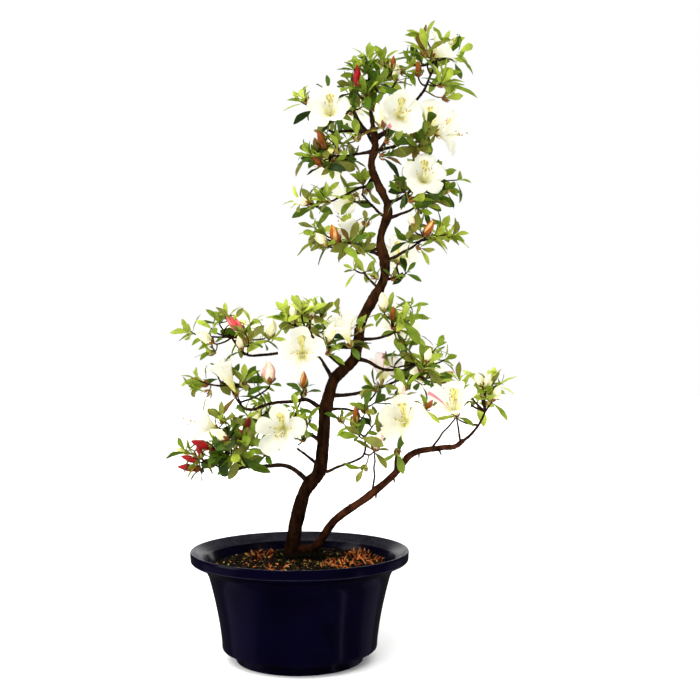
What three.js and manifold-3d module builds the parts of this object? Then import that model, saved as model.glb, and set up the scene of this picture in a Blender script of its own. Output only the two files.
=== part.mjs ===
// Azalea bonsai in its pot: two stems, their boughs and open masses of leafy, flowering shoots.
// Millimetres, +Z up. The origin is the middle of the pot's underside and the front faces -Y.
import * as THREE from "three";
import { mergeVertices } from "three/addons/utils/BufferGeometryUtils.js";
import Module from "manifold-3d";

const wasm = await Module();
wasm.setup();

// Clearance left between neighbouring pieces, and the finest detail kept on a fused piece
const GAP = 0.3;
const FINEST = 0.03;

// Pot: a shallow foot, a wall that flares upwards and a wide lip that falls towards the inside
const POT_HEIGHT = 109;
const POT_FACETS = 32;
const FOOT_RADIUS = 63.3;
const FOOT_HEIGHT = 11;
const BASE_RADIUS = 77;
const BASE_CORNER = 5;
const SHOULDER_RADIUS = 90.5;
const SHOULDER_HEIGHT = 84;
const FLARE_POWER = 1.5;
const NECK_RADIUS = 94.5;
const NECK_HEIGHT = 92;
const LIP_RADIUS = 109;
const LIP_HEIGHT = 10.5;
const LIP_WIDTH = 12.5;
const LIP_FALL = 5.6;
const WALL = 4;

// Soil: level under the stems and lower at the wall, with a ridge round the trunk's foot and clumps of moss
const SOIL_LEVEL = 97;
const SOIL_EDGE = 93;
const SOIL_LEVEL_RADIUS = 34;
const SOIL_RINGS = [76, 66, 56, 46, 36, 27, 20];
const FOOT_CLEARING = 13.5;
const RIDGE_RADIUS = 20;
const RIDGE_WIDTH = 7;
const RIDGE_HEIGHT = 2.4;
const CLUMPS = [
  { middle: [60, 12], spread: [15, 17], height: 3.8 },
  { middle: [64, 40], spread: [11, 11], height: 3 },
  { middle: [36, 28], spread: [12, 12], height: 2.8 },
  { middle: [40, -24], spread: [13, 11], height: 3 },
  { middle: [16, -44], spread: [14, 11], height: 2.6 },
  { middle: [-16, -34], spread: [14, 11], height: 2.8 },
  { middle: [-46, -26], spread: [12, 12], height: 2.8 },
  { middle: [-62, 4], spread: [13, 14], height: 3.4 },
  { middle: [-38, 16], spread: [11, 12], height: 3 },
  { middle: [-44, 46], spread: [13, 12], height: 3.4 },
  { middle: [-10, 34], spread: [13, 11], height: 2.8 },
  { middle: [-6, 64], spread: [15, 10], height: 3.2 },
  { middle: [28, 62], spread: [14, 10], height: 3 },
];

// Trunk: a row per bend of the middle line, with a straight taper and a root flare
const TRUNK_BENDS = [
  [-7, 0, 97.3], [-7, 0, 110], [-5, -2, 128], [4, -4, 164], [19, -5, 187], [23, -3, 212],
  [26, 1, 250], [34, 4, 277], [55, 4, 301], [62, 0, 338], [83, -4, 376], [84, -4, 397],
  [81, 0, 420], [88, 4, 449], [79, 3, 472], [71.5, 0, 492], [75, -2, 512], [73, -2, 530],
];
const TRUNK_FOOT_RADIUS = 6.9;
const TRUNK_TOP_RADIUS = 2.7;
const ROOT_FLARE = 5;
const ROOT_FLARE_HEIGHT = 9;
const TRUNK_FACETS = 8;
const TRUNK_STEPS = 38;

// Second stem: springs from the root flare, climbs to the right and turns up at its tip
const STEM_BENDS = [
  [-5, -1, 106], [15, -2, 108], [36, -5, 139], [66, -9, 161], [93, -12, 184], [111, -14, 205],
  [139, -14, 211], [153, -13, 212], [162, -12, 218],
];
const STEM_FOOT_RADIUS = 4.6;
const STEM_TIP_RADIUS = 2.2;
const STEM_FACETS = 6;
const STEM_STEPS = 20;

// Boughs: height on the trunk, tip, rise of the middle above the chord, foot and tip radius
const BOUGH_FACETS = 5;
const BOUGH_STEPS = 4;
const BOUGHS = [
  { name: "low_left", at: 175, tip: [-70, -22, 186], bow: 13, radii: [2.4, 1.4] },
  { name: "left_front", at: 190, tip: [0, -8, 208], bow: 1, radii: [1.6, 1.1] },
  { name: "mid_left", at: 246, tip: [-44, -4, 249], bow: 8, radii: [2.2, 1.3] },
  { name: "upper_left", at: 311, tip: [-46, 12, 302], bow: 1, radii: [2, 1.2] },
  { name: "tier_top", at: 276, tip: [12, -10, 308], bow: 4, radii: [2.1, 1.2] },
  { name: "low_right", at: 186, tip: [58, -16, 200], bow: -1, radii: [1.6, 1.1] },
  { name: "mid_right", at: 247, tip: [52, 18, 246], bow: 2, radii: [1.6, 1.1] },
  { name: "right_mid", at: 300, tip: [104, 14, 287], bow: -3, radii: [1.9, 1.2] },
  { name: "right_top", at: 319, tip: [90, 6, 323], bow: -2, radii: [1.6, 1.1] },
  { name: "crown_left_low", at: 409, tip: [60, -8, 404], bow: 1, radii: [1.6, 1.1] },
  { name: "crown_left_mid", at: 482, tip: [43, -3, 461], bow: -2, radii: [1.6, 1.1] },
  { name: "crown_left_upper", at: 506, tip: [45, 6, 503], bow: -1, radii: [1.6, 1.1] },
  { name: "crown_top_left", at: 525, tip: [38, 2, 526], bow: 2, radii: [1.9, 1.3] },
  { name: "apex", at: 519, tip: [121, 5, 564], bow: -5, radii: [2.2, 1.4] },
  { name: "crown_right_upper", at: 506, tip: [108, 10, 519], bow: -1, radii: [1.8, 1.2] },
  { name: "crown_right_mid", at: 441, tip: [109, -8, 446], bow: -1, radii: [1.7, 1.1] },
  { name: "crown_right_low", at: 396, tip: [119, -2, 416], bow: -2, radii: [1.8, 1.1] },
  { name: "rear_low", at: 214, tip: [-22, 46, 230], bow: 5, radii: [2, 1.2] },
  { name: "rear_tier", at: 290, tip: [14, 42, 318], bow: -3, radii: [2, 1.2] },
  { name: "rear_right", at: 262, tip: [100, 46, 276], bow: -4, radii: [2, 1.2] },
  { name: "rear_crown_low", at: 402, tip: [56, 34, 418], bow: -2, radii: [1.8, 1.2] },
  { name: "rear_crown_right", at: 456, tip: [116, 36, 476], bow: -3, radii: [1.8, 1.2] },
  { name: "rear_crown_top", at: 513, tip: [57, 32, 548], bow: -2, radii: [1.8, 1.2] },
];

// Foliage masses: the middle, the reach either side of it and the number of leafy shoots. A mass grows
// from the tip of the bough of its own name, or of the stem given, or leaves that stem at a height.
const MASSES = [
  { name: "low_left", middle: [-75, -27, 215], reach: [44, 34, 38], shoots: 4 },
  { name: "left_front", middle: [-10, -26, 227], reach: [32, 28, 30], shoots: 2 },
  { name: "mid_left", middle: [-70, -4, 274], reach: [50, 34, 29], shoots: 4 },
  { name: "upper_left", middle: [-70, 12, 322], reach: [60, 38, 30], shoots: 5 },
  { name: "tier_top", middle: [6, -28, 330], reach: [37, 34, 40], shoots: 4 },
  { name: "front_centre", on: "trunk", at: 322, middle: [46, -34, 328], reach: [28, 28, 36], shoots: 2 },
  { name: "low_right", middle: [64, -24, 224], reach: [25, 26, 36], shoots: 2 },
  { name: "right_bloom", on: "second_stem", at: 186, middle: [99, -26, 228], reach: [33, 34, 36], shoots: 2 },
  { name: "right_tip", on: "second_stem", middle: [168, -12, 262], reach: [45, 36, 38], shoots: 4 },
  { name: "right_mid", middle: [116, 18, 294], reach: [50, 34, 28], shoots: 5 },
  { name: "right_top", middle: [99, 8, 337], reach: [31, 32, 28], shoots: 3 },
  { name: "mid_right", middle: [64, 24, 251], reach: [25, 26, 19], shoots: 1 },
  { name: "waist_left", on: "trunk", at: 369, middle: [63, -8, 385], reach: [18, 20, 20], shoots: 2 },
  { name: "waist_right", on: "trunk", at: 378, middle: [103, 3, 385], reach: [17, 18, 15], shoots: 1 },
  { name: "crown_left_low", middle: [40, -14, 417], reach: [43, 32, 28], shoots: 3 },
  { name: "crown_inner", on: "trunk", at: 440, middle: [62, 16, 466], reach: [21, 24, 22], shoots: 1 },
  { name: "crown_left_mid", middle: [18, -4, 453], reach: [33, 28, 21], shoots: 3 },
  { name: "crown_left_upper", middle: [30, 10, 503], reach: [42, 34, 28], shoots: 4 },
  { name: "crown_top_left", middle: [22, -14, 548], reach: [39, 32, 29], shoots: 3 },
  { name: "crown_top", on: "trunk", middle: [69, 5, 580], reach: [35, 36, 42], shoots: 6 },
  { name: "crown_front", on: "trunk", at: 498, middle: [100, -33, 535], reach: [30, 28, 28], shoots: 1 },
  { name: "apex", middle: [137, 8, 600], reach: [42, 36, 52], shoots: 6 },
  { name: "crown_right_upper", middle: [128, 15, 526], reach: [45, 34, 29], shoots: 2 },
  { name: "crown_right_mid", middle: [122, -14, 468], reach: [43, 34, 37], shoots: 4 },
  { name: "crown_right_low", middle: [130, 1, 419], reach: [42, 34, 24], shoots: 4 },
  { name: "rear_low", middle: [-44, 60, 233], reach: [42, 36, 30], shoots: 3 },
  { name: "rear_tier", middle: [8, 58, 330], reach: [38, 36, 32], shoots: 3 },
  { name: "rear_right", middle: [124, 60, 280], reach: [40, 34, 28], shoots: 3 },
  { name: "rear_crown_low", middle: [50, 50, 425], reach: [30, 32, 26], shoots: 2 },
  { name: "rear_crown_right", middle: [124, 53, 483], reach: [36, 32, 30], shoots: 3 },
  { name: "rear_crown_top", middle: [53, 46, 561], reach: [36, 32, 32], shoots: 3 },
];

// Open flowers: the mass, the middle of the mouth, the turn from the front and the tilt up, in degrees
const BLOOMS = [
  ["crown_front", [101, -44, 537], 10, 5],
  ["crown_top_left", [29, -30, 547], -5, 25],
  ["crown_right_mid", [124, -34, 480], 5, 20],
  ["tier_top", [4, -48, 305], 0, 5],
  ["left_front", [-15, -46, 234], -10, -5],
  ["right_bloom", [98, -48, 242], -20, 14],
  ["right_tip", [152, -30, 267], -25, 15],
  ["apex", [146, -6, 612], 70, 40],
  ["crown_right_upper", [154, 2, 526], 65, 0],
  ["crown_right_upper", [136, 26, 544], 150, 30],
  ["waist_right", [102, 20, 408], 165, 40],
  ["crown_left_low", [46, -6, 432], -100, 65],
  ["front_centre", [48, -44, 341], -40, 35],
  ["mid_right", [87, 20, 282], 60, 60],
  ["mid_left", [-71, -12, 280], -60, 60],
  ["low_left", [-98, -32, 238], -80, 20],
  ["crown_inner", [54, 24, 467], -150, 20],
  ["rear_low", [-46, 82, 237], 180, 15],
  ["rear_tier", [8, 80, 334], 175, 25],
  ["rear_right", [128, 80, 284], 165, 15],
  ["rear_crown_low", [48, 70, 428], -170, 10],
  ["rear_crown_right", [130, 72, 486], 150, 15],
  ["rear_crown_top", [50, 66, 566], -170, 30],
  ["upper_left", [-62, 42, 326], 180, 20],
  ["crown_left_upper", [28, 38, 504], -170, 15],
  ["right_top", [100, 34, 334], 170, 20],
];

// Swollen buds: the mass, the foot of the bud, the turn from the front and the tilt up, in degrees
const BUDS = [
  ["low_left", [-96, -28, 192], -90, 5],
  ["low_left", [-84, -44, 214], -60, 20],
  ["low_left", [-50, -38, 232], 20, 40],
  ["mid_left", [-30, -6, 274], -20, 75],
  ["upper_left", [-56, -4, 326], -100, 40],
  ["upper_left", [-86, -8, 315], -60, 30],
  ["upper_left", [-30, 2, 320], 10, 60],
  ["crown_top", [57, -16, 564], 0, 80],
  ["crown_left_upper", [25, -10, 508], -30, 50],
  ["crown_left_low", [38, -24, 411], -40, 60],
  ["crown_right_low", [124, -16, 420], 30, 45],
  ["low_right", [74, -30, 210], 30, 55],
  ["low_right", [56, -28, 236], -10, 80],
  ["right_top", [84, -4, 346], -20, 70],
  ["right_tip", [184, -14, 268], 20, 60],
];

// Leaf, flower, bud and twig sizes
const LEAF_LENGTH = 25;
const LEAF_WIDTH = 12;
const LEAF_ROLL = 60;
const HUB_RADIUS = 2.2;
const HUB_THICKNESS = 2.2;
const LEAF_WIDEST = 0.6;
const LEAF_TRIES = [1, 0.8, 0.64];
const LEAVES_ON_SHOOT = 6;
const SHOOT_ROOM = 17;
const BLOOM_ROOM = 23;
const SHOOT_TRIES = 60;
const KNEE_LENGTH = 9;
const SHOOT_OPENING = [50, 90];
const BLOOM_OPENING = [80, 105];
const BUD_OPENING = [65, 95];
const BLOOM_RADIUS = 25;
const BLOOM_DEPTH = 20;
const BLOOM_MOUTH_DROP = 9;
const PETALS = 5;
const PETAL_OUTLINE = [[0, 0.76, -2], [0.26, 0.95, 1], [0.5, 1, -1], [0.74, 0.95, 1]];
const BUD_LENGTH = 22;
const BUD_RADIUS = 4.6;
const TWIG_RADIUS = 0.85;
const TWIGS_ON_STEM = [0.97, 0.88, 0.79, 0.7, 0.6, 0.5, 0.4, 0.3, 0.2, 0.1];
const TWIG_FORWARD = 0.15;
const STALK_RADIUS = 1.5;

// Colours
const NAVY = 0x0b0a1e;
const EARTH = 0x3b2c20;
const BARK = 0x4a3022;
const LEAF_GREEN = 0x5f8f22;

const GOLDEN_ANGLE = Math.PI * (3 - Math.sqrt(5));
const UP = new THREE.Vector3(0, 0, 1);
const point = (row) => new THREE.Vector3(...row);
const radians = THREE.MathUtils.degToRad;
const mix = THREE.MathUtils.lerp;

// A repeatable run of numbers from 0 to 1
function seeded(seed) {
  let state = seed >>> 0;
  return () => {
    state = (state + 0x6d2b79f5) >>> 0;
    let word = Math.imul(state ^ (state >>> 15), state | 1);
    word = (word + Math.imul(word ^ (word >>> 7), word | 61)) ^ word;
    return ((word ^ (word >>> 14)) >>> 0) / 4294967296;
  };
}

// A closed solid from a geometry: seams are welded and faces without area are left out
function solidFrom(geometry) {
  const bare = geometry.clone();
  bare.deleteAttribute("normal");
  bare.deleteAttribute("uv");
  const welded = mergeVertices(bare, 1e-4);
  const corners = Array.from(welded.index.array);
  const kept = [];
  for (let i = 0; i < corners.length; i += 3) {
    const [a, b, c] = corners.slice(i, i + 3);
    if (a !== b && b !== c && c !== a) kept.push(a, b, c);
  }
  const vertProperties = Float32Array.from(welded.attributes.position.array);
  const triVerts = Uint32Array.from(kept);
  return new wasm.Manifold(new wasm.Mesh({ numProp: 3, vertProperties, triVerts }));
}

// The largest piece of a solid, so that hollows are filled and loose scraps dropped
function mainPiece(solid) {
  const pieces = solid.decompose();
  return pieces.reduce((best, piece) => (piece.volume() > best.volume() ? piece : best));
}

// A named mesh from a closed solid
function meshFrom(name, solid, colour, roughness) {
  const { vertProperties, triVerts } = solid.getMesh();
  const geometry = new THREE.BufferGeometry();
  geometry.setAttribute("position", new THREE.BufferAttribute(Float32Array.from(vertProperties), 3));
  geometry.setIndex(new THREE.BufferAttribute(Uint32Array.from(triVerts), 1));
  geometry.computeVertexNormals();
  const mesh = new THREE.Mesh(geometry, new THREE.MeshStandardMaterial({ color: colour, roughness }));
  mesh.name = name;
  return mesh;
}

// A round piece turned about the upright axis from rows of radius and height
function turned(rows, facets) {
  const outline = rows.map(([radius, height]) => new THREE.Vector2(radius, height));
  return solidFrom(new THREE.LatheGeometry(outline, facets).rotateX(Math.PI / 2));
}

// A cylinder bent along a curve, with its own radius at each step
function tapered(curve, radiusAt, facets, steps) {
  const geometry = new THREE.CylinderGeometry(1, 1, 1, facets, steps);
  const across = [];
  let side = new THREE.Vector3(0, 1, 0);
  for (let i = 0; i <= steps; i += 1) {
    const along = curve.getTangent(i / steps);
    if (Math.abs(along.dot(side)) > 0.95) side = new THREE.Vector3(1, 0, 0);
    side = side.clone().addScaledVector(along, -along.dot(side)).normalize();
    across.push([side, new THREE.Vector3().crossVectors(side, along)]);
  }
  const position = geometry.attributes.position;
  for (let i = 0; i < position.count; i += 1) {
    const t = position.getY(i) + 0.5;
    const [right, front] = across[Math.round(t * steps)];
    const place = curve.getPoint(t);
    place.addScaledVector(right, position.getX(i) * radiusAt(t));
    place.addScaledVector(front, position.getZ(i) * radiusAt(t));
    position.setXYZ(i, place.x, place.y, place.z);
  }
  return solidFrom(geometry);
}

// Pot and soil
function wallRadius(height) {
  const share = Math.max(0, (height - FOOT_HEIGHT) / (SHOULDER_HEIGHT - FOOT_HEIGHT));
  return BASE_RADIUS + (SHOULDER_RADIUS - BASE_RADIUS) * share ** FLARE_POWER;
}

function potSolid() {
  const innerRadius = LIP_RADIUS - LIP_WIDTH;
  const floor = FOOT_HEIGHT + WALL;
  const rows = [[0, 0], [FOOT_RADIUS, 0], [FOOT_RADIUS, FOOT_HEIGHT]];
  rows.push([BASE_RADIUS - BASE_CORNER, FOOT_HEIGHT]);
  for (const height of [FOOT_HEIGHT + BASE_CORNER, 40, 63, SHOULDER_HEIGHT]) {
    rows.push([wallRadius(height), height]);
  }
  rows.push([NECK_RADIUS, NECK_HEIGHT]);
  rows.push([LIP_RADIUS - 1.5, POT_HEIGHT - LIP_HEIGHT], [LIP_RADIUS, POT_HEIGHT - LIP_HEIGHT + 1.5]);
  rows.push([LIP_RADIUS, POT_HEIGHT - 2], [LIP_RADIUS - 1.5, POT_HEIGHT]);
  rows.push([innerRadius, POT_HEIGHT - LIP_FALL]);
  for (const height of [SHOULDER_HEIGHT, 50, floor]) {
    rows.push([wallRadius(height) - WALL, height]);
  }
  rows.push([0, floor]);
  return turned(rows, POT_FACETS);
}

const soilRadius = (height) => wallRadius(height) - WALL - 1.4 * GAP;
const SOIL_RADIUS = soilRadius(SHOULDER_HEIGHT);

// The height of the soil's surface at a place
function soilHeight(x, y) {
  const [footX, footY] = TRUNK_BENDS[0];
  const outward = THREE.MathUtils.smoothstep(Math.hypot(x, y), SOIL_LEVEL_RADIUS, SOIL_RADIUS);
  const fromRidge = (Math.hypot(x - footX, y - footY) - RIDGE_RADIUS) / RIDGE_WIDTH;
  let height = mix(SOIL_LEVEL, SOIL_EDGE, outward) + RIDGE_HEIGHT * Math.exp(-(fromRidge ** 2));
  for (const { middle, spread, height: rise } of CLUMPS) {
    height += rise * Math.exp(-(((x - middle[0]) / spread[0]) ** 2) - ((y - middle[1]) / spread[1]) ** 2);
  }
  return height;
}

// A ring of the soil, about a middle on the line from the pot's axis to the trunk's foot
function soilRing(radius, middle, heightAt) {
  return loop(Array.from({ length: POT_FACETS }, (_, i) => {
    const angle = (i * 2 * Math.PI) / POT_FACETS;
    const x = middle + radius * Math.cos(angle);
    const y = radius * Math.sin(angle);
    return new THREE.Vector3(x, y, heightAt(x, y));
  }));
}

function soilSolid() {
  const floor = FOOT_HEIGHT + WALL + GAP;
  const [footX, footY] = TRUNK_BENDS[0];
  const loops = [loop([new THREE.Vector3(0, 0, floor)])];
  for (const height of [floor, 50, SHOULDER_HEIGHT]) {
    loops.push(soilRing(soilRadius(height), 0, () => height));
  }
  loops.push(soilRing(SOIL_RADIUS, 0, () => SOIL_EDGE));
  for (const radius of SOIL_RINGS) {
    const inward = (SOIL_RADIUS - radius) / (SOIL_RADIUS - FOOT_CLEARING);
    loops.push(soilRing(radius, footX * inward, soilHeight));
  }
  loops.push(soilRing(FOOT_CLEARING, footX, () => SOIL_LEVEL));
  loops.push(loop([new THREE.Vector3(footX, footY, SOIL_LEVEL)]));
  return loftSolid(loops);
}

// Limbs: each has a curve, a radius along it and its solid, and a wider one that keeps others clear
function limb(curve, radiusAt, facets, steps) {
  const solid = tapered(curve, radiusAt, facets, steps);
  const wide = tapered(curve, (t) => radiusAt(t) + 1.2 * GAP, facets, steps);
  return { curve, radiusAt, solid, wide };
}

// The place along a climbing limb at a given height
function placeAtHeight(curve, height) {
  let low = 0;
  let high = 1;
  for (let i = 0; i < 40; i += 1) {
    const middle = (low + high) / 2;
    if (curve.getPoint(middle).z < height) low = middle;
    else high = middle;
  }
  return low;
}

function trunkLimb() {
  const curve = new THREE.CatmullRomCurve3(TRUNK_BENDS.map(point), false, "catmullrom", 0.5);
  const radiusAt = (t) => {
    const flare = ROOT_FLARE * Math.exp((SOIL_LEVEL - curve.getPoint(t).z) / ROOT_FLARE_HEIGHT);
    return mix(TRUNK_FOOT_RADIUS, TRUNK_TOP_RADIUS, t ** 1.2) + flare;
  };
  return limb(curve, radiusAt, TRUNK_FACETS, TRUNK_STEPS);
}

function secondStemLimb(trunk) {
  const curve = new THREE.CatmullRomCurve3(STEM_BENDS.map(point), false, "catmullrom", 0.5);
  const stem = limb(curve, (t) => mix(STEM_FOOT_RADIUS, STEM_TIP_RADIUS, t), STEM_FACETS, STEM_STEPS);
  stem.solid = mainPiece(stem.solid.subtract(trunk.wide).simplify(FINEST));
  return stem;
}

function boughLimb(row, trunk) {
  const foot = trunk.curve.getPoint(placeAtHeight(trunk.curve, row.at));
  const tip = point(row.tip);
  const lift = foot.clone().add(tip).multiplyScalar(0.5).addScaledVector(UP, 2 * row.bow);
  const curve = new THREE.QuadraticBezierCurve3(foot, lift, tip);
  const bough = limb(curve, (t) => mix(...row.radii, t), BOUGH_FACETS, BOUGH_STEPS);
  bough.solid = mainPiece(bough.solid.subtract(trunk.wide).simplify(FINEST));
  return bough;
}

// A direction from a turn away from the front and a tilt up, in degrees
function heading(turn, tilt) {
  const level = Math.cos(radians(tilt));
  const bearing = radians(turn);
  return new THREE.Vector3(Math.sin(bearing) * level, -Math.cos(bearing) * level, Math.sin(radians(tilt)));
}

// Two directions square to an axis and to one another
function squareTo(axis) {
  const guide = Math.abs(axis.z) > 0.9 ? new THREE.Vector3(1, 0, 0) : UP;
  const side = new THREE.Vector3().crossVectors(axis, guide).normalize();
  return [side, new THREE.Vector3().crossVectors(axis, side)];
}

// A closed loop of points, in order of their turn about an axis
const loop = (places, start = 0) => places.map((place, i) => ({ place, turn: start + i / places.length }));

const indexOf = (row, i) => row[i % row.length].index;
const turnOf = (row, i) => {
  return row.length > 1 ? row[i % row.length].turn + Math.floor(i / row.length) : Infinity;
};

// A closed solid lofted through loops of points; a loop of one point is a sharp end
function loftSolid(loops) {
  const points = loops.flat().map(({ place }) => place);
  let first = 0;
  const rows = loops.map((row) => row.map(({ turn }) => ({ turn, index: first++ })));
  const corners = rows[0].length > 2 ? rows[0].map(({ index }) => index).reverse() : [];
  for (let k = 1; k < rows.length; k += 1) {
    const [low, high] = [rows[k - 1], rows[k]];
    const steps = [low, high].reduce((sum, row) => sum + (row.length > 1 ? row.length : 0), 0);
    let i = 0;
    let j = 0;
    while (i + j < steps) {
      const lead = turnOf(low, i + 1) - turnOf(high, j + 1);
      const onLow = lead < 0 || (lead === 0 && low.length > high.length);
      corners.push(indexOf(low, i), onLow ? indexOf(low, i + 1) : indexOf(high, j + 1), indexOf(high, j));
      if (onLow) i += 1;
      else j += 1;
    }
  }
  return solidFrom(new THREE.BufferGeometry().setFromPoints(points).setIndex(corners));
}

// The two shoulders of a leaf with its tip between them
function leafOutline(leaf, size) {
  const shoulder = leaf.foot.clone().addScaledVector(leaf.along, LEAF_WIDEST * size * leaf.length);
  const halfWidth = leaf.across.clone().multiplyScalar((size * leaf.width) / 2);
  const tip = leaf.foot.clone().addScaledVector(leaf.along, size * leaf.length);
  return [shoulder.clone().sub(halfWidth), tip, shoulder.clone().add(halfWidth)];
}

// One leaf by itself with its share of the hub, to find whether it has room
function leafSolid(leaf, size) {
  const half = leaf.axis.clone().multiplyScalar(HUB_THICKNESS / 2);
  const ends = [leaf.foot.clone().sub(half), leaf.foot.clone().add(half)].map((end) => loop([end]));
  return loftSolid([ends[0], loop([leaf.notch, ...leafOutline(leaf, size), leaf.nextNotch]), ends[1]]);
}

// The rim of a whorl: a notch before each leaf, then the leaf if it has room
function whorlRim(leaves) {
  return leaves.flatMap((leaf, i) => {
    const places = [leaf.notch, ...(leaf.size ? leafOutline(leaf, leaf.size) : [])];
    return places.map((place, k) => ({ place, turn: (i + 0.25 * k) / leaves.length }));
  });
}

// Flower: a rim of rounded petals and the middle of the mouth below it
function bloomLoops(foot, axis) {
  const [side, front] = squareTo(axis);
  const placed = (radius, turn, height) => foot.clone().addScaledVector(axis, height)
    .addScaledVector(side, radius * Math.cos(2 * Math.PI * turn))
    .addScaledVector(front, radius * Math.sin(2 * Math.PI * turn));
  const rim = [];
  for (let petal = 0; petal < PETALS; petal += 1) {
    for (const [swing, reach, rise] of PETAL_OUTLINE) {
      const turn = (petal + swing) / PETALS;
      rim.push({ turn, place: placed(reach * BLOOM_RADIUS, turn, BLOOM_DEPTH + rise) });
    }
  }
  return [rim, loop([placed(0, 0, BLOOM_DEPTH - BLOOM_MOUTH_DROP)])];
}

// Bud: a slim spindle that ends in a point
function budLoops(foot, axis) {
  const along = (height) => foot.clone().addScaledVector(axis, height);
  const ring = (share, height) => ringLoop(along(height), axis, share * BUD_RADIUS, 5);
  return [ring(0.5, 2), ring(1, 0.5 * BUD_LENGTH), loop([along(BUD_LENGTH)])];
}

// An even ring of points round a place, each in the middle of its share of the turn
function ringLoop(place, axis, radius, count, sides = squareTo(axis)) {
  return loop(Array.from({ length: count }, (_, i) => {
    const angle = ((i + 0.5) * 2 * Math.PI) / count;
    const edge = place.clone().addScaledVector(sides[0], radius * Math.cos(angle));
    return edge.addScaledVector(sides[1], radius * Math.sin(angle));
  }));
}

// What a shoot ends in: a flower, a bud or a point
function headLoops(spray) {
  if (spray.kind === "bloom") return bloomLoops(spray.tip, spray.axis);
  if (spray.kind === "bud") return budLoops(spray.tip, spray.axis);
  return [loop([spray.tip.clone().addScaledVector(spray.axis, HUB_THICKNESS)])];
}

// The twig of a spray: rings at the mass's stem, at the knee and under the whorl
function twigLoops(spray) {
  const { start, knee, tip, axis } = spray;
  const under = tip.clone().addScaledVector(axis, -HUB_THICKNESS);
  const firstLeg = knee.clone().sub(start).normalize();
  const halfWay = firstLeg.clone().add(axis).normalize();
  let side = squareTo(axis)[0];
  return [[under, axis], [knee, halfWay], [start, firstLeg]].map(([place, along]) => {
    side = side.clone().addScaledVector(along, -along.dot(side)).normalize();
    return ringLoop(place, along, TWIG_RADIUS, 3, [side, new THREE.Vector3().crossVectors(along, side)]);
  }).reverse();
}

const collarLoop = (spray) => ringLoop(spray.tip, spray.axis, TWIG_RADIUS, 3);
const hubLoop = (spray) => loop(spray.leaves.map(({ notch }) => notch));
const twigSolid = (spray) => loftSolid([...twigLoops(spray), hubLoop(spray), loop([spray.tip])]);
const headSolid = (spray) => loftSolid([collarLoop(spray), ...headLoops(spray)]);
const spraySolid = (spray) => {
  return loftSolid([...twigLoops(spray), whorlRim(spray.leaves), collarLoop(spray), ...headLoops(spray)]);
};

// The leaves of a whorl, evenly round the end of a shoot, each with its own opening, length and roll
function whorl(tip, axis, count, opening, random) {
  const [side, front] = squareTo(axis);
  const outward = (angle) => {
    return side.clone().multiplyScalar(Math.cos(angle)).addScaledVector(front, Math.sin(angle));
  };
  const foot = tip.clone().addScaledVector(axis, -0.5 * HUB_THICKNESS);
  return Array.from({ length: count }, (_, i) => {
    const angle = ((i + 0.5) * 2 * Math.PI) / count;
    const open = radians(mix(...opening, random()));
    const along = axis.clone().multiplyScalar(Math.cos(open));
    along.addScaledVector(outward(angle), Math.sin(open));
    const roll = radians(LEAF_ROLL * (random() - 0.5));
    const across = outward(angle + Math.PI / 2).applyAxisAngle(along, roll);
    const size = 0.85 + 0.3 * random();
    const length = LEAF_LENGTH * size;
    const wedge = 1.8 * Math.tan(Math.PI / count) * LEAF_WIDEST * length * Math.sin(open);
    const width = Math.min(LEAF_WIDTH * size, wedge);
    const notch = foot.clone().addScaledVector(outward(angle - Math.PI / count), HUB_RADIUS);
    const nextNotch = foot.clone().addScaledVector(outward(angle + Math.PI / count), HUB_RADIUS);
    return { foot, axis, along, across, notch, nextNotch, length, width };
  });
}

// A twig to a spray: it leaves the stem of the mass as far along as it can and still come from behind
function addTwig(spray, stem) {
  spray.knee = spray.tip.clone().addScaledVector(spray.axis, -KNEE_LENGTH);
  spray.start = TWIGS_ON_STEM.map((share) => stem.getPoint(share)).find((start) => {
    const leg = spray.knee.clone().sub(start);
    return leg.dot(spray.axis) > TWIG_FORWARD * leg.length();
  });
  return Boolean(spray.start);
}

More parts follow.
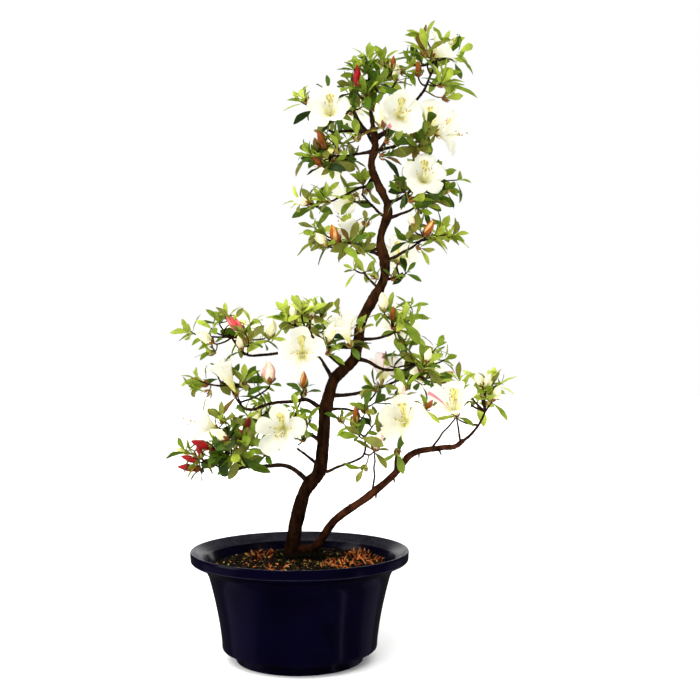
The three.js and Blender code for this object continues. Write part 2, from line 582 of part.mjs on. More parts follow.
// The shoots of a mass: flowers and buds at their places, then leafy shoots spread evenly round it.
// A shoot that would crowd a flower, a bud or an earlier shoot is passed over.
function grow(mass, stem, stemMiddle, seed) {
  const middle = point(mass.middle);
  const reach = point(mass.reach.map((side) => Math.max(side - 0.72 * LEAF_LENGTH, 0.55 * side)));
  const sprays = [];
  const filled = [];
  BLOOMS.filter(([name]) => name === mass.name).forEach(([, place, turn, tilt], i) => {
    const facing = heading(turn, tilt);
    const foot = point(place).addScaledVector(facing, -BLOOM_DEPTH);
    const leaves = whorl(foot, facing, LEAVES_ON_SHOOT, BLOOM_OPENING, seeded(seed + 40 + i));
    sprays.push({ tip: foot, axis: facing, kind: "bloom", leaves });
    filled.push({ place: point(place).addScaledVector(facing, -0.3 * BLOOM_DEPTH), room: BLOOM_ROOM });
  });
  BUDS.filter(([name]) => name === mass.name).forEach(([, place, turn, tilt], i) => {
    const facing = heading(turn, tilt);
    const foot = point(place);
    const leaves = whorl(foot, facing, LEAVES_ON_SHOOT, BUD_OPENING, seeded(seed + 60 + i));
    sprays.push({ tip: foot, axis: facing, kind: "bud", leaves });
    filled.push({ place: foot.clone().addScaledVector(facing, 0.5 * BUD_LENGTH), room: SHOOT_ROOM });
  });
  const outwards = middle.clone().sub(stemMiddle(mass.middle[2]));
  const bearing = Math.atan2(outwards.y, outwards.x);
  let shoots = 0;
  for (let i = 0; i < SHOOT_TRIES && shoots < mass.shoots; i += 1) {
    const random = seeded(seed + i);
    const height = mix(-0.4, 0.92, (0.5 + i * Math.SQRT2) % 1);
    const angle = bearing + i * GOLDEN_ANGLE;
    const level = Math.sqrt(1 - height * height);
    const outward = new THREE.Vector3(level * Math.cos(angle), level * Math.sin(angle), height);
    const depth = reach.clone().multiplyScalar(1.02 - 0.2 * random() * Math.min(i, 1));
    const tip = middle.clone().add(outward.clone().multiply(depth));
    if (filled.some(({ place, room }) => place.distanceTo(tip) < room)) continue;
    const axis = outward.clone().addScaledVector(UP, 0.55).normalize();
    const leaves = whorl(tip, axis, LEAVES_ON_SHOOT, SHOOT_OPENING, random);
    const spray = { tip, axis, leaves };
    if (!addTwig(spray, stem)) continue;
    sprays.push(spray);
    filled.push({ place: tip, room: SHOOT_ROOM });
    shoots += 1;
  }
  return sprays.filter((spray) => spray.start || addTwig(spray, stem));
}

const parentOf = (mass) => mass.on ?? `${mass.name}_bough`;

// The stem of a mass, from the tip of its bough or from the side of a stem to the middle of the mass
function massStem(mass, limbs) {
  const middle = point(mass.middle);
  const { curve } = limbs[parentOf(mass)];
  if (mass.at) {
    const foot = curve.getPoint(placeAtHeight(curve, mass.at));
    const bend = foot.clone().lerp(middle, 0.5).addScaledVector(UP, -3);
    return new THREE.QuadraticBezierCurve3(foot, bend, middle);
  }
  const along = curve.getTangent(1);
  const foot = curve.getPoint(1).addScaledVector(along, 1.2 * GAP);
  const bend = foot.clone().addScaledVector(along, 0.45 * foot.distanceTo(middle));
  return new THREE.QuadraticBezierCurve3(foot, bend, middle);
}

// Room for a piece: it keeps clear of every piece taken before, save those it is told to join
const taken = [];
const boxOf = (solid) => {
  const { min, max } = solid.boundingBox();
  return new THREE.Box3(point(min), point(max)).expandByScalar(GAP);
};
function takeIfRoom(solid, mass, spray, joins) {
  const box = boxOf(solid);
  const clear = taken.every((piece) => {
    if (joins(piece) || !piece.box.intersectsBox(box)) return true;
    return solid.minGap(piece.solid, 2 * GAP) > GAP;
  });
  if (clear) taken.push({ solid, box, mass, spray });
  return clear;
}

// The limbs
const trunk = trunkLimb();
const trunkMiddle = (height) => trunk.curve.getPoint(placeAtHeight(trunk.curve, height));
const limbs = { trunk, second_stem: secondStemLimb(trunk) };
for (const row of BOUGHS) limbs[`${row.name}_bough`] = boughLimb(row, trunk);
for (const [name, { solid }] of Object.entries(limbs)) taken.push({ solid, box: boxOf(solid), mass: name });

// The masses: stems first, then every flower and bud, then shoots and leaves while there is room
const crown = MASSES.map((mass, number) => {
  const stem = massStem(mass, limbs);
  const parent = parentOf(mass);
  const footRadius = mass.at ? STALK_RADIUS : limbs[parent].radiusAt(1) * 0.9;
  let solid = tapered(stem, (t) => mix(footRadius, STALK_RADIUS, t), 4, 3);
  if (mass.at) solid = mainPiece(solid.subtract(limbs[parent].wide));
  takeIfRoom(solid, mass.name, null, (piece) => piece.mass === parent);
  return { mass, solids: [solid], sprays: grow(mass, stem, trunkMiddle, 1000 + 100 * number) };
});
const sprays = crown.flatMap((entry) => entry.sprays.map((spray) => ({ ...spray, entry })));
const flowering = sprays.filter((spray) => spray.kind);
const leafy = sprays.filter((spray) => !spray.kind);

const sameMass = (spray) => (piece) => piece.mass === spray.entry.mass.name;
const sameSpray = (spray) => (piece) => piece.spray === spray;
for (const spray of [...flowering, ...leafy]) {
  const solids = spray.kind ? [twigSolid(spray), headSolid(spray)] : [twigSolid(spray)];
  spray.rooted = solids.every((solid) => takeIfRoom(solid, spray.entry.mass.name, spray, sameMass(spray)));
}
for (const spray of sprays.filter((each) => each.rooted)) {
  const { name } = spray.entry.mass;
  for (const leaf of spray.leaves) {
    const fits = (size) => takeIfRoom(leafSolid(leaf, size), name, spray, sameSpray(spray));
    leaf.size = LEAF_TRIES.find(fits);
  }
  spray.entry.solids.push(spraySolid(spray));
}

// The assembly
const bonsai = new THREE.Group();
bonsai.name = "azalea_bonsai";
bonsai.add(meshFrom("pot", potSolid(), NAVY, 0.25));
bonsai.add(meshFrom("soil", soilSolid(), EARTH, 0.95));
for (const [name, { solid }] of Object.entries(limbs)) bonsai.add(meshFrom(name, solid, BARK, 0.85));
for (const { mass, solids } of crown) {
  const fused = mainPiece(wasm.Manifold.union(solids).simplify(FINEST));
  bonsai.add(meshFrom(`${mass.name}_mass`, fused, LEAF_GREEN, 0.6));
}

export default bonsai;
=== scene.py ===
import itertools
import math

import bpy
import numpy as np
from numpy.linalg import norm
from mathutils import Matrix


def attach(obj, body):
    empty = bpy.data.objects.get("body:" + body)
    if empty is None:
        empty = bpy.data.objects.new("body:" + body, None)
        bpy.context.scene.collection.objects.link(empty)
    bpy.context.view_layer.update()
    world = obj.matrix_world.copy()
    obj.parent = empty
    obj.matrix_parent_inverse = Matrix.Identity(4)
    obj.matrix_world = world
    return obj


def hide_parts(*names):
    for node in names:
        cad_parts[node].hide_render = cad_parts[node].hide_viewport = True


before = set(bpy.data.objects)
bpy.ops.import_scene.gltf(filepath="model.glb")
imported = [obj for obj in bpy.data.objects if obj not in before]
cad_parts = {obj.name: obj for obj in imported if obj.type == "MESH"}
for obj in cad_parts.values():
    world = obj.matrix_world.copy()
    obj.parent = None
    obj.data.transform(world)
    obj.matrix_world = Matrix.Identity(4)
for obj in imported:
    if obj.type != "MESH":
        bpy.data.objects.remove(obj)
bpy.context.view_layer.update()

MM = 0.001
UP = np.array((0.0, 0.0, 1.0))
CIRCLE = 2 * math.pi
GOLDEN_ANGLE = math.pi * (3 - math.sqrt(5))

# Pot
POT_HEIGHT = 109
FOOT_RADIUS = 63.3
FOOT_HEIGHT = 11
BASE_RADIUS = 77
SHOULDER_RADIUS = 90.5
SHOULDER_HEIGHT = 84
FLARE_POWER = 1.5
NECK_RADIUS = 94.5
NECK_HEIGHT = 92
LIP_RADIUS = 109
LIP_WIDTH = 12.5
LIP_HEIGHT = 10.5
LIP_FALL = 5.6
LIP_EDGE = 0.6
LIP_WEAR = 4
WALL = 4
WALL_RINGS = (18, 26, 34, 42, 50, 58, 66, 73)
INNER_RINGS = (SHOULDER_HEIGHT, 50, FOOT_HEIGHT + WALL)
POT_SIDES = 160
POT_PINHOLE = 0.4

# Soil
SOIL_LEVEL = 97
SOIL_LEVEL_RADIUS = 34
SOIL_EDGE = 93
SOIL_RADIUS = 86.1
SOIL_FADE = 8
RIDGE_RADIUS = 20
RIDGE_WIDTH = 7
RIDGE_HEIGHT = 2.4
CLUMP_SHARE = 0.7
BED_RADIUS = 85.9
BED_RINGS = 44
BED_SIDES = 120
BED_FOOT = 84.6
BED_BOTTOM = SHOULDER_HEIGHT - 4
BED_PINHOLE = 0.5

# Lumps of the soil: the height, the size and the seed
SOIL_LUMPS = ((0.6, 9, 5), (0.4, 4, 6))

# Grains on the soil: their shades, how many, how far out, the clearing at the trunk, and the pale ones
DARK, BROWN_GRAIN, TAN, PALE = range(4)
GRAINS = 2600
GRAIN_REACH = 84.5
GRAIN_SIZES = (0.9, 2.3)
GRAIN_CLEARING = 9
CLEARING_MIDDLE = -6
PALE_MIDDLE = (8, -34)
PALE_SPREAD = 15

# Clumps of moss and fibre on the soil: the middle, the spread, the height, the strands and their kind
CLUMPS = [
    ((60, 12), (15, 17), 3.8, 152, "rust"), ((64, 40), (11, 11), 3, 60, "straw"),
    ((36, 28), (12, 12), 2.8, 200, "moss"), ((40, -24), (13, 11), 3, 88, "rust"),
    ((16, -44), (14, 11), 2.6, 192, "speckled"), ((-16, -34), (14, 11), 2.8, 192, "speckled"),
    ((-46, -26), (12, 12), 2.8, 230, "moss"), ((-62, 4), (13, 14), 3.4, 320, "moss"),
    ((-38, 16), (11, 12), 3, 104, "rust"), ((-44, 46), (13, 12), 3.4, 240, "moss"),
    ((-10, 34), (13, 11), 2.8, 240, "moss"), ((-6, 64), (15, 10), 3.2, 200, "moss"),
    ((28, 62), (14, 10), 3, 180, "moss"),
]

# Strands that belong to no clump: the middle, the spread, how many and their kind
LOOSE_STRANDS = [
    ((-8, 0), (12, 9), 1100, "upright"), ((9, -1), (11, 7), 700, "upright"),
    ((12, 4), (14, 12), 240, "speckled"), ((4, -24), (20, 10), 208, "speckled"),
    ((-21, -43), (7, 5), 20, "straw"), ((74, 8), (8, 12), 44, "rust"),
]

# Kinds of strand: the length, the radius, the tilts, and the shares of rust, straw, dark moss and moss tips
STRANDS = {
    "rust": (11, 0.8, (8, 70), (0.3, 0.2, 0.46, 0.04)),
    "straw": (11, 0.8, (8, 70), (0.22, 0.5, 0.25, 0.03)),
    "moss": (4.6, 0.55, (8, 70), (0.02, 0.03, 0.9, 0.05)),
    "speckled": (5, 0.55, (8, 70), (0.02, 0.03, 0.85, 0.1)),
    "upright": (11, 0.75, (40, 85), (0, 0, 0.985, 0.015)),
}
STRAND_REACH = 83
STRAND_END_REACH = 90
STRAND_SPREAD = 1.3
STRAND_TAPER = np.array((1, 0.95, 0.85, 0.65, 0.25))

# Trunk and second stem, from the foot up. The second stem's foot stands 3 mm above the source's.
TRUNK_BENDS = [
    (-7, 0, 97.3), (-7, 0, 110), (-5, -2, 128), (4, -4, 164), (19, -5, 187), (23, -3, 212), (26, 1, 250),
    (34, 4, 277), (55, 4, 301), (62, 0, 338), (83, -4, 376), (84, -4, 397), (81, 0, 420), (88, 4, 449),
    (79, 3, 472), (71.5, 0, 492), (75, -2, 512), (73, -2, 530),
]
TRUNK_RADII = (6.9, 2.7)
TAPER_POWER = 1.2
ROOT_FLARE = 4
ROOT_FLARE_HEIGHT = 9
RIB_HEIGHT = 8
FOOT_SINK = 3
FOOT_SINK_HEIGHT = 4
KNOT_OUT = 5
KNOT_SWELL = 0.55
KNOT_SPREAD = 4.2
STEM_BENDS = [
    (-5, -1, 109.5), (14.5, -2, 111), (36, -5, 139), (66, -9, 161), (93, -12, 184), (111, -14, 205),
    (139, -14, 211), (153, -13, 212), (162, -12, 218),
]
STEM_RADII = (4.6, 2.2)

# The scar of a cut shoot on the trunk: each ring's radius and how far out it stands
SCAR_PLACE = (10.5, -9.5, 177)
SCAR_FACING = (-5, 10)
SCAR_RINGS = ((2.3, -2), (2.2, 0), (1.7, 0.5), (0.01, 0.2))
SCAR_SIDES = 14
SCAR_STRETCH = 1.3

# Stubs of cut shoots on the second stem: the share along it, turn and tilt, the length and the radius
STUBS = [
    (0.42, -10, -60, 5, 1.3), (0.5, 20, -70, 4, 1.1), (0.57, 5, -55, 6, 1.2), (0.66, -15, -65, 4, 1),
    (0.36, 160, 30, 5, 1.2), (0.74, 30, -50, 5, 1), (0.3, 20, 50, 5, 1.2), (0.82, 170, 20, 4, 0.9),
]

# Thin stalks that stand on the second stem: the share along it, the knee and the end
STALKS = [
    (0.4, (75, -20, 190), (74, -29, 208)), (0.51, (95, -18, 196), (95, -24, 212)),
    (0.705, (142, -14, 225), (154.5, -14, 241)), (0.96, (157, -13, 228), (155, -14, 241)),
]
STALK_RADII = (1.1, 0.8)

# Boughs: the height on the trunk, the tip, the bow and the radii at foot and tip
BOUGHS = {
    "low_left": (175, (-70, -22, 186), 13, (2.4, 1.4)),
    "left_front": (190, (0, -8, 208), 1, (1.6, 1.1)),
    "mid_left": (246, (-44, -4, 249), 8, (2.2, 1.3)),
    "upper_left": (311, (-46, 12, 302), 1, (2, 1.2)),
    "tier_top": (276, (12, -10, 308), 4, (2.1, 1.2)),
    "low_right": (186, (58, -16, 200), -1, (1.6, 1.1)),
    "mid_right": (247, (52, 18, 246), 2, (1.6, 1.1)),
    "right_mid": (300, (104, 14, 287), -3, (1.9, 1.2)),
    "right_top": (319, (90, 6, 323), -2, (1.6, 1.1)),
    "crown_left_low": (409, (60, -8, 404), 1, (1.6, 1.1)),
    "crown_left_mid": (482, (43, -3, 461), -2, (1.6, 1.1)),
    "crown_left_upper": (506, (45, 6, 503), -1, (1.6, 1.1)),
    "crown_top_left": (525, (38, 2, 526), 2, (1.9, 1.3)),
    "apex": (519, (121, 5, 564), -5, (2.2, 1.4)),
    "crown_right_upper": (506, (108, 10, 519), -1, (1.8, 1.2)),
    "crown_right_mid": (441, (109, -8, 446), -1, (1.7, 1.1)),
    "crown_right_low": (396, (119, -2, 416), -2, (1.8, 1.1)),
    "rear_low": (214, (-22, 46, 230), 5, (2, 1.2)),
    "rear_tier": (290, (14, 42, 318), -3, (2, 1.2)),
    "rear_right": (262, (100, 46, 276), -4, (2, 1.2)),
    "rear_crown_low": (402, (56, 34, 418), -2, (1.8, 1.2)),
    "rear_crown_right": (456, (116, 36, 476), -3, (1.8, 1.2)),
    "rear_crown_top": (513, (57, 32, 548), -2, (1.8, 1.2)),
}

# How far a bough's knee stands up, and where it is along the bough
CROOKS = {"mid_left": 5, "low_left": 3, "right_mid": 2, "low_right": -2, "crown_left_mid": -3}
CROOK_SHARE = 0.25
CROOK_SPREAD = 0.11

# Masses: the middle, the reach either side of it and the leafy shoots
MASSES = {
    "low_left": ((-75, -27, 215), (44, 34, 38), 4),
    "left_front": ((-10, -26, 227), (32, 28, 30), 2),
    "mid_left": ((-70, -4, 274), (50, 34, 29), 4),
    "upper_left": ((-70, 12, 322), (60, 38, 30), 5),
    "tier_top": ((6, -28, 330), (37, 34, 40), 4),
    "front_centre": ((46, -34, 328), (28, 28, 36), 2),
    "low_right": ((64, -24, 224), (25, 26, 36), 2),
    "right_bloom": ((99, -26, 228), (33, 34, 36), 2),
    "right_tip": ((168, -12, 262), (45, 36, 38), 4),
    "right_mid": ((116, 18, 294), (50, 34, 28), 5),
    "right_top": ((99, 8, 337), (31, 32, 28), 3),
    "mid_right": ((64, 24, 251), (25, 26, 19), 1),
    "waist_left": ((63, -8, 385), (18, 20, 20), 2),
    "waist_right": ((103, 3, 385), (17, 18, 15), 1),
    "crown_left_low": ((40, -14, 417), (43, 32, 28), 3),
    "crown_inner": ((62, 16, 466), (21, 24, 22), 1),
    "crown_left_mid": ((18, -4, 453), (33, 28, 21), 3),
    "crown_left_upper": ((30, 10, 503), (42, 34, 28), 4),
    "crown_top_left": ((22, -14, 548), (39, 32, 29), 3),
    "crown_top": ((69, 5, 580), (35, 36, 42), 6),
    "crown_front": ((100, -33, 535), (30, 28, 28), 1),
    "apex": ((137, 8, 600), (42, 36, 52), 6),
    "crown_right_upper": ((128, 15, 526), (45, 34, 29), 2),
    "crown_right_mid": ((122, -14, 468), (43, 34, 37), 4),
    "crown_right_low": ((130, 1, 419), (42, 34, 24), 4),
    "rear_low": ((-44, 60, 233), (42, 36, 30), 3),
    "rear_tier": ((8, 58, 330), (38, 36, 32), 3),
    "rear_right": ((124, 60, 280), (40, 34, 28), 3),
    "rear_crown_low": ((50, 50, 425), (30, 32, 26), 2),
    "rear_crown_right": ((124, 53, 483), (36, 32, 30), 3),
    "rear_crown_top": ((53, 46, 561), (36, 32, 32), 3),
}

# What carries a mass that has no bough of its own name: the stem, and the height on it or none for its end
CARRIERS = {
    "front_centre": ("trunk", 302), "right_bloom": ("second_stem", 186), "right_tip": ("second_stem", None),
    "waist_left": ("trunk", 369), "waist_right": ("trunk", 378), "crown_inner": ("trunk", 440),
    "crown_top": ("trunk", None), "crown_front": ("trunk", 498),
}

# Where the stem of a mass ends away from its middle, and how thick one starts on the end of its carrier
STEM_ENDS = {"right_tip": (184, -14, 248), "front_centre": (53, -18, 310)}
STEM_STARTS = {"trunk": 2.2, "second_stem": 1.5}
SIDE_STEM = 1.5
STEM_SAG = 3
STEM_RUN = 0.45

# Open flowers: the mass, the middle of the mouth, turn and tilt, the radius, how far in the notches
# between the lobes reach, each pink stripe's lobe and where along it the stripe starts, and the depth
BLOOMS = [
    ("crown_front", (101, -44, 537), 10, 5, 22.5, 0.7, ((3, 0.8),), 20),
    ("crown_top_left", (29, -30, 547), -5, 25, 23, 0.62, (), 20),
    ("crown_right_mid", (124, -34, 480), 5, 20, 23, 0.6, (), 20),
    ("tier_top", (4, -48, 305), 0, 5, 25, 0.46, (), 19),
    ("left_front", (-18, -46, 229), -10, -5, 26, 0.44, (), 21),
    ("right_bloom", (98, -48, 242), -20, 14, 25.5, 0.54, (), 20),
    ("right_tip", (150.5, -26, 257.5), -20, 50, 27, 0.5, ((4, 0.25),), 28),
    ("apex", (146, -6, 612), 70, 40, 22, 0.56, (), 20),
    ("crown_right_upper", (154, 2, 526), 65, 0, 23, 0.6, ((4, 0.5),), 20),
    ("crown_right_upper", (136, 26, 544), 150, 30, 23, 0.56, (), 20),
    ("waist_right", (102, 20, 408), 165, 40, 22, 0.56, (), 20),
    ("crown_left_low", (46, -6, 432), -100, 65, 22, 0.5, (), 20),
    ("front_centre", (44.5, -37.5, 328.5), -40, 60, 15, 0.7, (), 32),
    ("mid_right", (85, 26, 287.5), 160, 50, 20, 0.6, ((0, 0.2), (1, 0.3)), 31),
    ("mid_left", (-71, -12, 280), -60, 60, 16, 0.78, (), 42),
    ("low_left", (-98, -32, 238), -80, 20, 22, 0.52, (), 20),
    ("crown_inner", (44, 34, 466), -150, 20, 18, 0.56, (), 20),
    ("rear_low", (-46, 82, 237), 180, 15, 24, 0.52, (), 20),
    ("rear_tier", (8, 80, 334), 175, 25, 25, 0.48, ((2, 0.6),), 20),
    ("rear_right", (128, 80, 284), 165, 15, 24, 0.56, (), 20),
    ("rear_crown_low", (48, 70, 428), -170, 10, 23, 0.54, (), 20),
    ("rear_crown_right", (130, 72, 486), 150, 15, 25, 0.5, (), 20),
    ("rear_crown_top", (50, 66, 566), -170, 30, 24, 0.58, ((1, 0.6),), 20),
    ("upper_left", (-62, 42, 326), 180, 20, 24, 0.52, (), 20),
    ("crown_left_upper", (28, 38, 504), -170, 15, 24, 0.56, (), 20),
    ("right_top", (100, 34, 334), 170, 20, 23, 0.52, (), 20),
    ("front_centre", (44, -14, 338), -30, 70, 20, 0.55, (), 20),
]

# Buds: the mass, the foot of the bud, turn and tilt, the length and the colour. The first fifteen are
# the source's; the rest are smaller ones on its twigs.
BUDS = [
    ("low_left", (-96, -28, 192), -90, 5, 22, "red"),
    ("low_left", (-84, -44, 214), -60, 20, 21, "red"),
    ("low_left", (-50, -38, 232), 20, 40, 18, "crimson"),
    ("mid_left", (-30, -6, 274), -20, 75, 24, "striped"),
    ("upper_left", (-56, -4, 326), -100, 40, 24, "pink"),
    ("upper_left", (-86, -8, 315), -60, 30, 22, "cream"),
    ("upper_left", (-30, 2, 320), 10, 60, 22, "cream"),
    ("crown_top", (57, -16, 564), 0, 80, 24, "red"),
    ("crown_left_upper", (25, -10, 508), -30, 50, 20, "russet"),
    ("crown_left_low", (38, -24, 411), -40, 60, 21, "orange"),
    ("crown_right_low", (124, -16, 420), 30, 45, 20, "orange"),
    ("low_right", (74, -30, 210), 30, 55, 24, "blush"),
    ("low_right", (56, -28, 236), -10, 80, 18, "russet"),
    ("right_top", (84, -4, 346), -20, 70, 20, "cream"),
    ("right_tip", (184, -14, 268), 20, 60, 20, "cream"),
    ("left_front", (4, -14, 270), 10, 80, 17, "orange"),
    ("crown_left_mid", (10, -18, 452), -75, 10, 16, "cream"),
    ("right_mid", (126, -10, 296), 15, 60, 15, "cream"),
    ("right_tip", (190, -18, 258), 60, 60, 17, "cream"),
    ("crown_left_upper", (22, -12, 490), -40, 30, 15, "russet"),
    ("crown_right_low", (112, -20, 428), -30, 60, 15, "blush"),
    ("right_bloom", (124, -26, 250), 30, 40, 14, "russet"),
    ("right_top", (92, -8, 338), 20, 75, 13, "russet"),
    ("crown_top", (92, -16, 584), 10, 70, 13, "russet"),
    ("waist_right", (97, -8, 380), 20, 60, 12, "russet"),
    ("upper_left", (-17, -12, 314), -80, 18, 25, "cream"),
    ("upper_left", (-14, -16, 308), -60, 65, 21, "cream"),
    ("upper_left", (-57, -10, 308), -30, 60, 15, "blush"),
    ("tier_top", (-4, -34, 336), -20, 78, 19, "cream"),
    ("tier_top", (12, -30, 338), 20, 84, 17, "cream"),
    ("tier_top", (27, -32, 314), 40, 62, 23, "cream"),
    ("low_left", (-67, -42, 221), -80, 30, 20, "cream"),
    ("crown_front", (82, -38, 522), -40, 66, 24, "cream"),
    ("crown_top", (95, -12, 574), 10, 80, 18, "cream"),
    ("apex", (118, -6, 580), 0, 60, 15, "russet"),
    ("crown_right_upper", (139, -6, 508), 20, 75, 20, "cream"),
    ("crown_left_low", (27, -26, 410), -60, 40, 17, "cream"),
    ("right_bloom", (100, -32, 262), 0, 80, 15, "blush"),
    ("right_tip", (180, -18, 272), -60, 60, 16, "cream"),
    ("low_left", (-82, -40, 203), -40, 75, 14, "red"),
    ("low_left", (-93, -38, 204), -60, 72, 16, "red"),
    ("low_left", (-97, -30, 199), -85, 18, 18, "red"),
    ("rear_low", (-62, 74, 216), -140, 20, 20, "red"),
    ("rear_tier", (26, 80, 322), 150, 40, 20, "cream"),
    ("rear_right", (146, 72, 274), 120, 30, 20, "pink"),
    ("rear_crown_right", (146, 66, 474), 130, 25, 20, "orange"),
    ("rear_crown_top", (34, 66, 552), -150, 30, 22, "cream"),
]
SOURCE_BUDS = 15

# Leafy tufts on the finer twigs: the mass, the tip of the twig, turn and tilt, the leaves, their size
# and how bright they are
TUFTS = [
    ("upper_left", (-73, 6, 342), -40, 65, 4, 0.8, 2.4),
    ("upper_left", (-90, 6, 306), -90, 12, 6, 0.9, 2.2),
    ("upper_left", (-50, -8, 318), 40, 60, 5, 0.9, 1.4),
    ("tier_top", (-10, -26, 342), -60, 62, 8, 0.95, 2.4),
    ("tier_top", (8, -24, 345), 0, 80, 8, 0.95, 2.4),
    ("tier_top", (24, -22, 344), 60, 66, 8, 0.95, 2.2),
    ("tier_top", (30, -30, 306), 50, 30, 4, 0.8, 1.2),
    ("front_centre", (60, -26, 330), -10, 60, 5, 0.8, 1.2),
    ("mid_left", (-96, 0, 274), -90, 8, 6, 0.9, 2.0),
    ("mid_left", (-92, -6, 264), -70, -50, 2, 1.1, 2.4),
    ("mid_left", (-56, -10, 276), 30, 70, 5, 0.95, 1.2),
    ("low_left", (-74, -34, 240), -30, 45, 6, 0.9, 1.6),
    ("low_left", (-56, -36, 222), 10, 40, 7, 1.1, 1.2),
    ("low_left", (-104, -30, 206), -85, 20, 4, 0.85, 2.2),
    ("low_left", (-60, -40, 212), 10, -55, 4, 1.15, 2.0),
    ("low_left", (-58, -34, 204), 0, -40, 5, 1.2, 1.6),
    ("low_left", (-70, -36, 208), -20, -20, 6, 1.0, 1.0),
    ("low_left", (-44, -34, 218), 30, 20, 5, 1.0, 1.0),
    ("left_front", (-32, -30, 206), -20, 10, 5, 0.85, 1.0),
    ("left_front", (7, -16, 238), -20, 50, 5, 0.8, 1.4),
    ("left_front", (4, -12, 266), 0, 60, 5, 0.75, 1.0),
    ("low_right", (42, -22, 240), 20, 50, 4, 0.7, 1.4),
    ("low_right", (64, -30, 250), -40, 50, 5, 0.8, 1.2),
    ("low_right", (63, -28, 192), -40, -30, 3, 0.8, 1.4),
    ("mid_right", (74, 0, 270), -80, 30, 6, 0.85, 1.2),
    ("right_bloom", (96, -30, 208), 0, -40, 4, 0.9, 1.4),
    ("right_top", (95, -2, 332), 50, 40, 9, 1.0, 1.8),
    ("right_top", (105, 2, 314), 70, 10, 4, 0.85, 1.0),
    ("right_mid", (122, 0, 290), 55, 50, 9, 0.95, 2.6),
    ("right_mid", (104, -18, 272), -20, 50, 5, 0.85, 1.6),
    ("right_tip", (189, -16, 272), 0, 82, 9, 1.1, 2.5),
    ("right_tip", (187, -15, 258), 20, 75, 6, 1.0, 2.2),
    ("right_tip", (180, -18, 264), -70, 55, 5, 1.0, 2.4),
    ("apex", (124, -6, 604), -60, 72, 9, 1.15, 2.2),
    ("apex", (142, -2, 575), 60, 55, 5, 1.25, 1.8),
    ("apex", (147, 0, 560), 80, 12, 6, 0.95, 2.6),
    ("crown_top", (83, -10, 594), 10, 80, 6, 0.95, 2.2),
    ("crown_top", (64, -12, 586), -60, 58, 8, 0.95, 2.0),
    ("crown_top", (76, -16, 566), 20, 20, 6, 0.95, 1.2),
    ("crown_top", (104, -8, 584), 70, 5, 4, 0.95, 1.4),
    ("crown_top", (66, -20, 560), -30, 35, 6, 1.0, 1.4),
    ("crown_top", (74, -20, 546), 20, 40, 5, 0.9, 1.6),
    ("crown_top_left", (5, -18, 555), -60, 50, 6, 0.8, 2.2),
    ("crown_left_upper", (57, -16, 518), -20, 60, 4, 0.95, 2.2),
    ("crown_left_upper", (20, -8, 502), -60, 50, 5, 1.0, 2.4),
    ("crown_front", (88, -28, 512), 60, 10, 3, 0.95, 1.2),
    ("crown_right_upper", (124, -16, 518), 20, 20, 8, 0.85, 1.0),
    ("crown_right_upper", (112, -10, 512), -20, 0, 6, 0.8, 0.8),
    ("crown_left_mid", (26, -14, 455), -80, 20, 7, 0.95, 2.2),
    ("crown_inner", (62, 0, 478), -30, 50, 6, 0.7, 1.4),
    ("crown_inner", (68, -2, 466), 10, -60, 3, 0.75, 0.8),
    ("crown_inner", (54, -2, 462), -60, -20, 3, 0.8, 2.2),
    ("crown_left_low", (66, -16, 434), 0, 70, 3, 0.85, 1.0),
    ("crown_left_low", (26, -20, 411), -85, 10, 4, 1.0, 1.6),
    ("crown_left_low", (62, -24, 406), 60, 15, 5, 0.85, 1.2),
    ("waist_left", (74, -12, 382), -70, 40, 7, 0.75, 2.2),
    ("waist_right", (95, -8, 380), 60, 35, 5, 0.75, 1.6),
    ("crown_right_mid", (112, -20, 455), 80, 10, 7, 1.05, 1.6),
    ("crown_right_mid", (124, -12, 452), 60, 5, 7, 1.0, 1.2),
    ("crown_right_mid", (136, -10, 455), 80, 12, 6, 1.0, 1.5),
    ("crown_right_mid", (118, -18, 446), 10, -20, 4, 1.0, 1.0),
    ("crown_right_low", (134, -10, 420), 75, 30, 7, 1.05, 2.8),
    ("crown_right_low", (120, -14, 408), 70, -20, 3, 0.95, 2.6),
    ("crown_front", (84, -12, 499), 75, 0, 5, 1.1, 0.6),
    ("left_front", (3, -12, 221), -30, 55, 6, 0.75, 0.9),
    ("crown_left_upper", (38, -14, 506), -10, 65, 5, 1.0, 2.0),
    ("crown_left_upper", (12, -10, 500), -60, 35, 6, 0.95, 1.4),
    ("crown_left_upper", (36, -12, 494), 20, -30, 4, 0.85, 0.8),
    ("crown_right_upper", (118, -14, 508), 0, 10, 6, 0.85, 0.7),
    ("apex", (126, -12, 605), -15, 75, 6, 1.15, 2.2),
    ("apex", (141, -10, 572), 70, 38, 6, 1.2, 2.0),
]
TUFTED = {row[0] for row in TUFTS}

# Leaves: the length, where they are smaller, the share of olive ones, and how much brighter a mass is
LEAF_LENGTH = 25
LEAF_WIDTHS = (0.3, 0.41)
LEAF_BENDS = (0.15, 0.85)
LEAF_FOLDS = (8, 34)
LEAF_GAP = 0.8
LEAF_SIZES = {"waist_left": 0.72, "waist_right": 0.76}
OLIVE_SHARE = 0.22
OLIVE_SHARES = {
    "crown_right_upper": 0.55, "left_front": 0.15, "apex": 0.08, "crown_top": 0.1, "right_tip": 0.1,
    "crown_left_upper": 0.32, "crown_left_low": 0.3, "crown_right_mid": 0.3, "low_left": 0.28,
    "right_top": 0.1, "right_mid": 0.12,
}
BROWN_SHARE = 0.05
TONES = {
    "right_tip": 0.9, "tier_top": 0.6, "upper_left": 0.3, "crown_right_low": 0.5, "waist_left": 0.8,
    "apex": 0.2, "low_left": -0.5, "crown_top": 0.2, "crown_left_upper": -0.1, "crown_right_upper": -0.6,
}

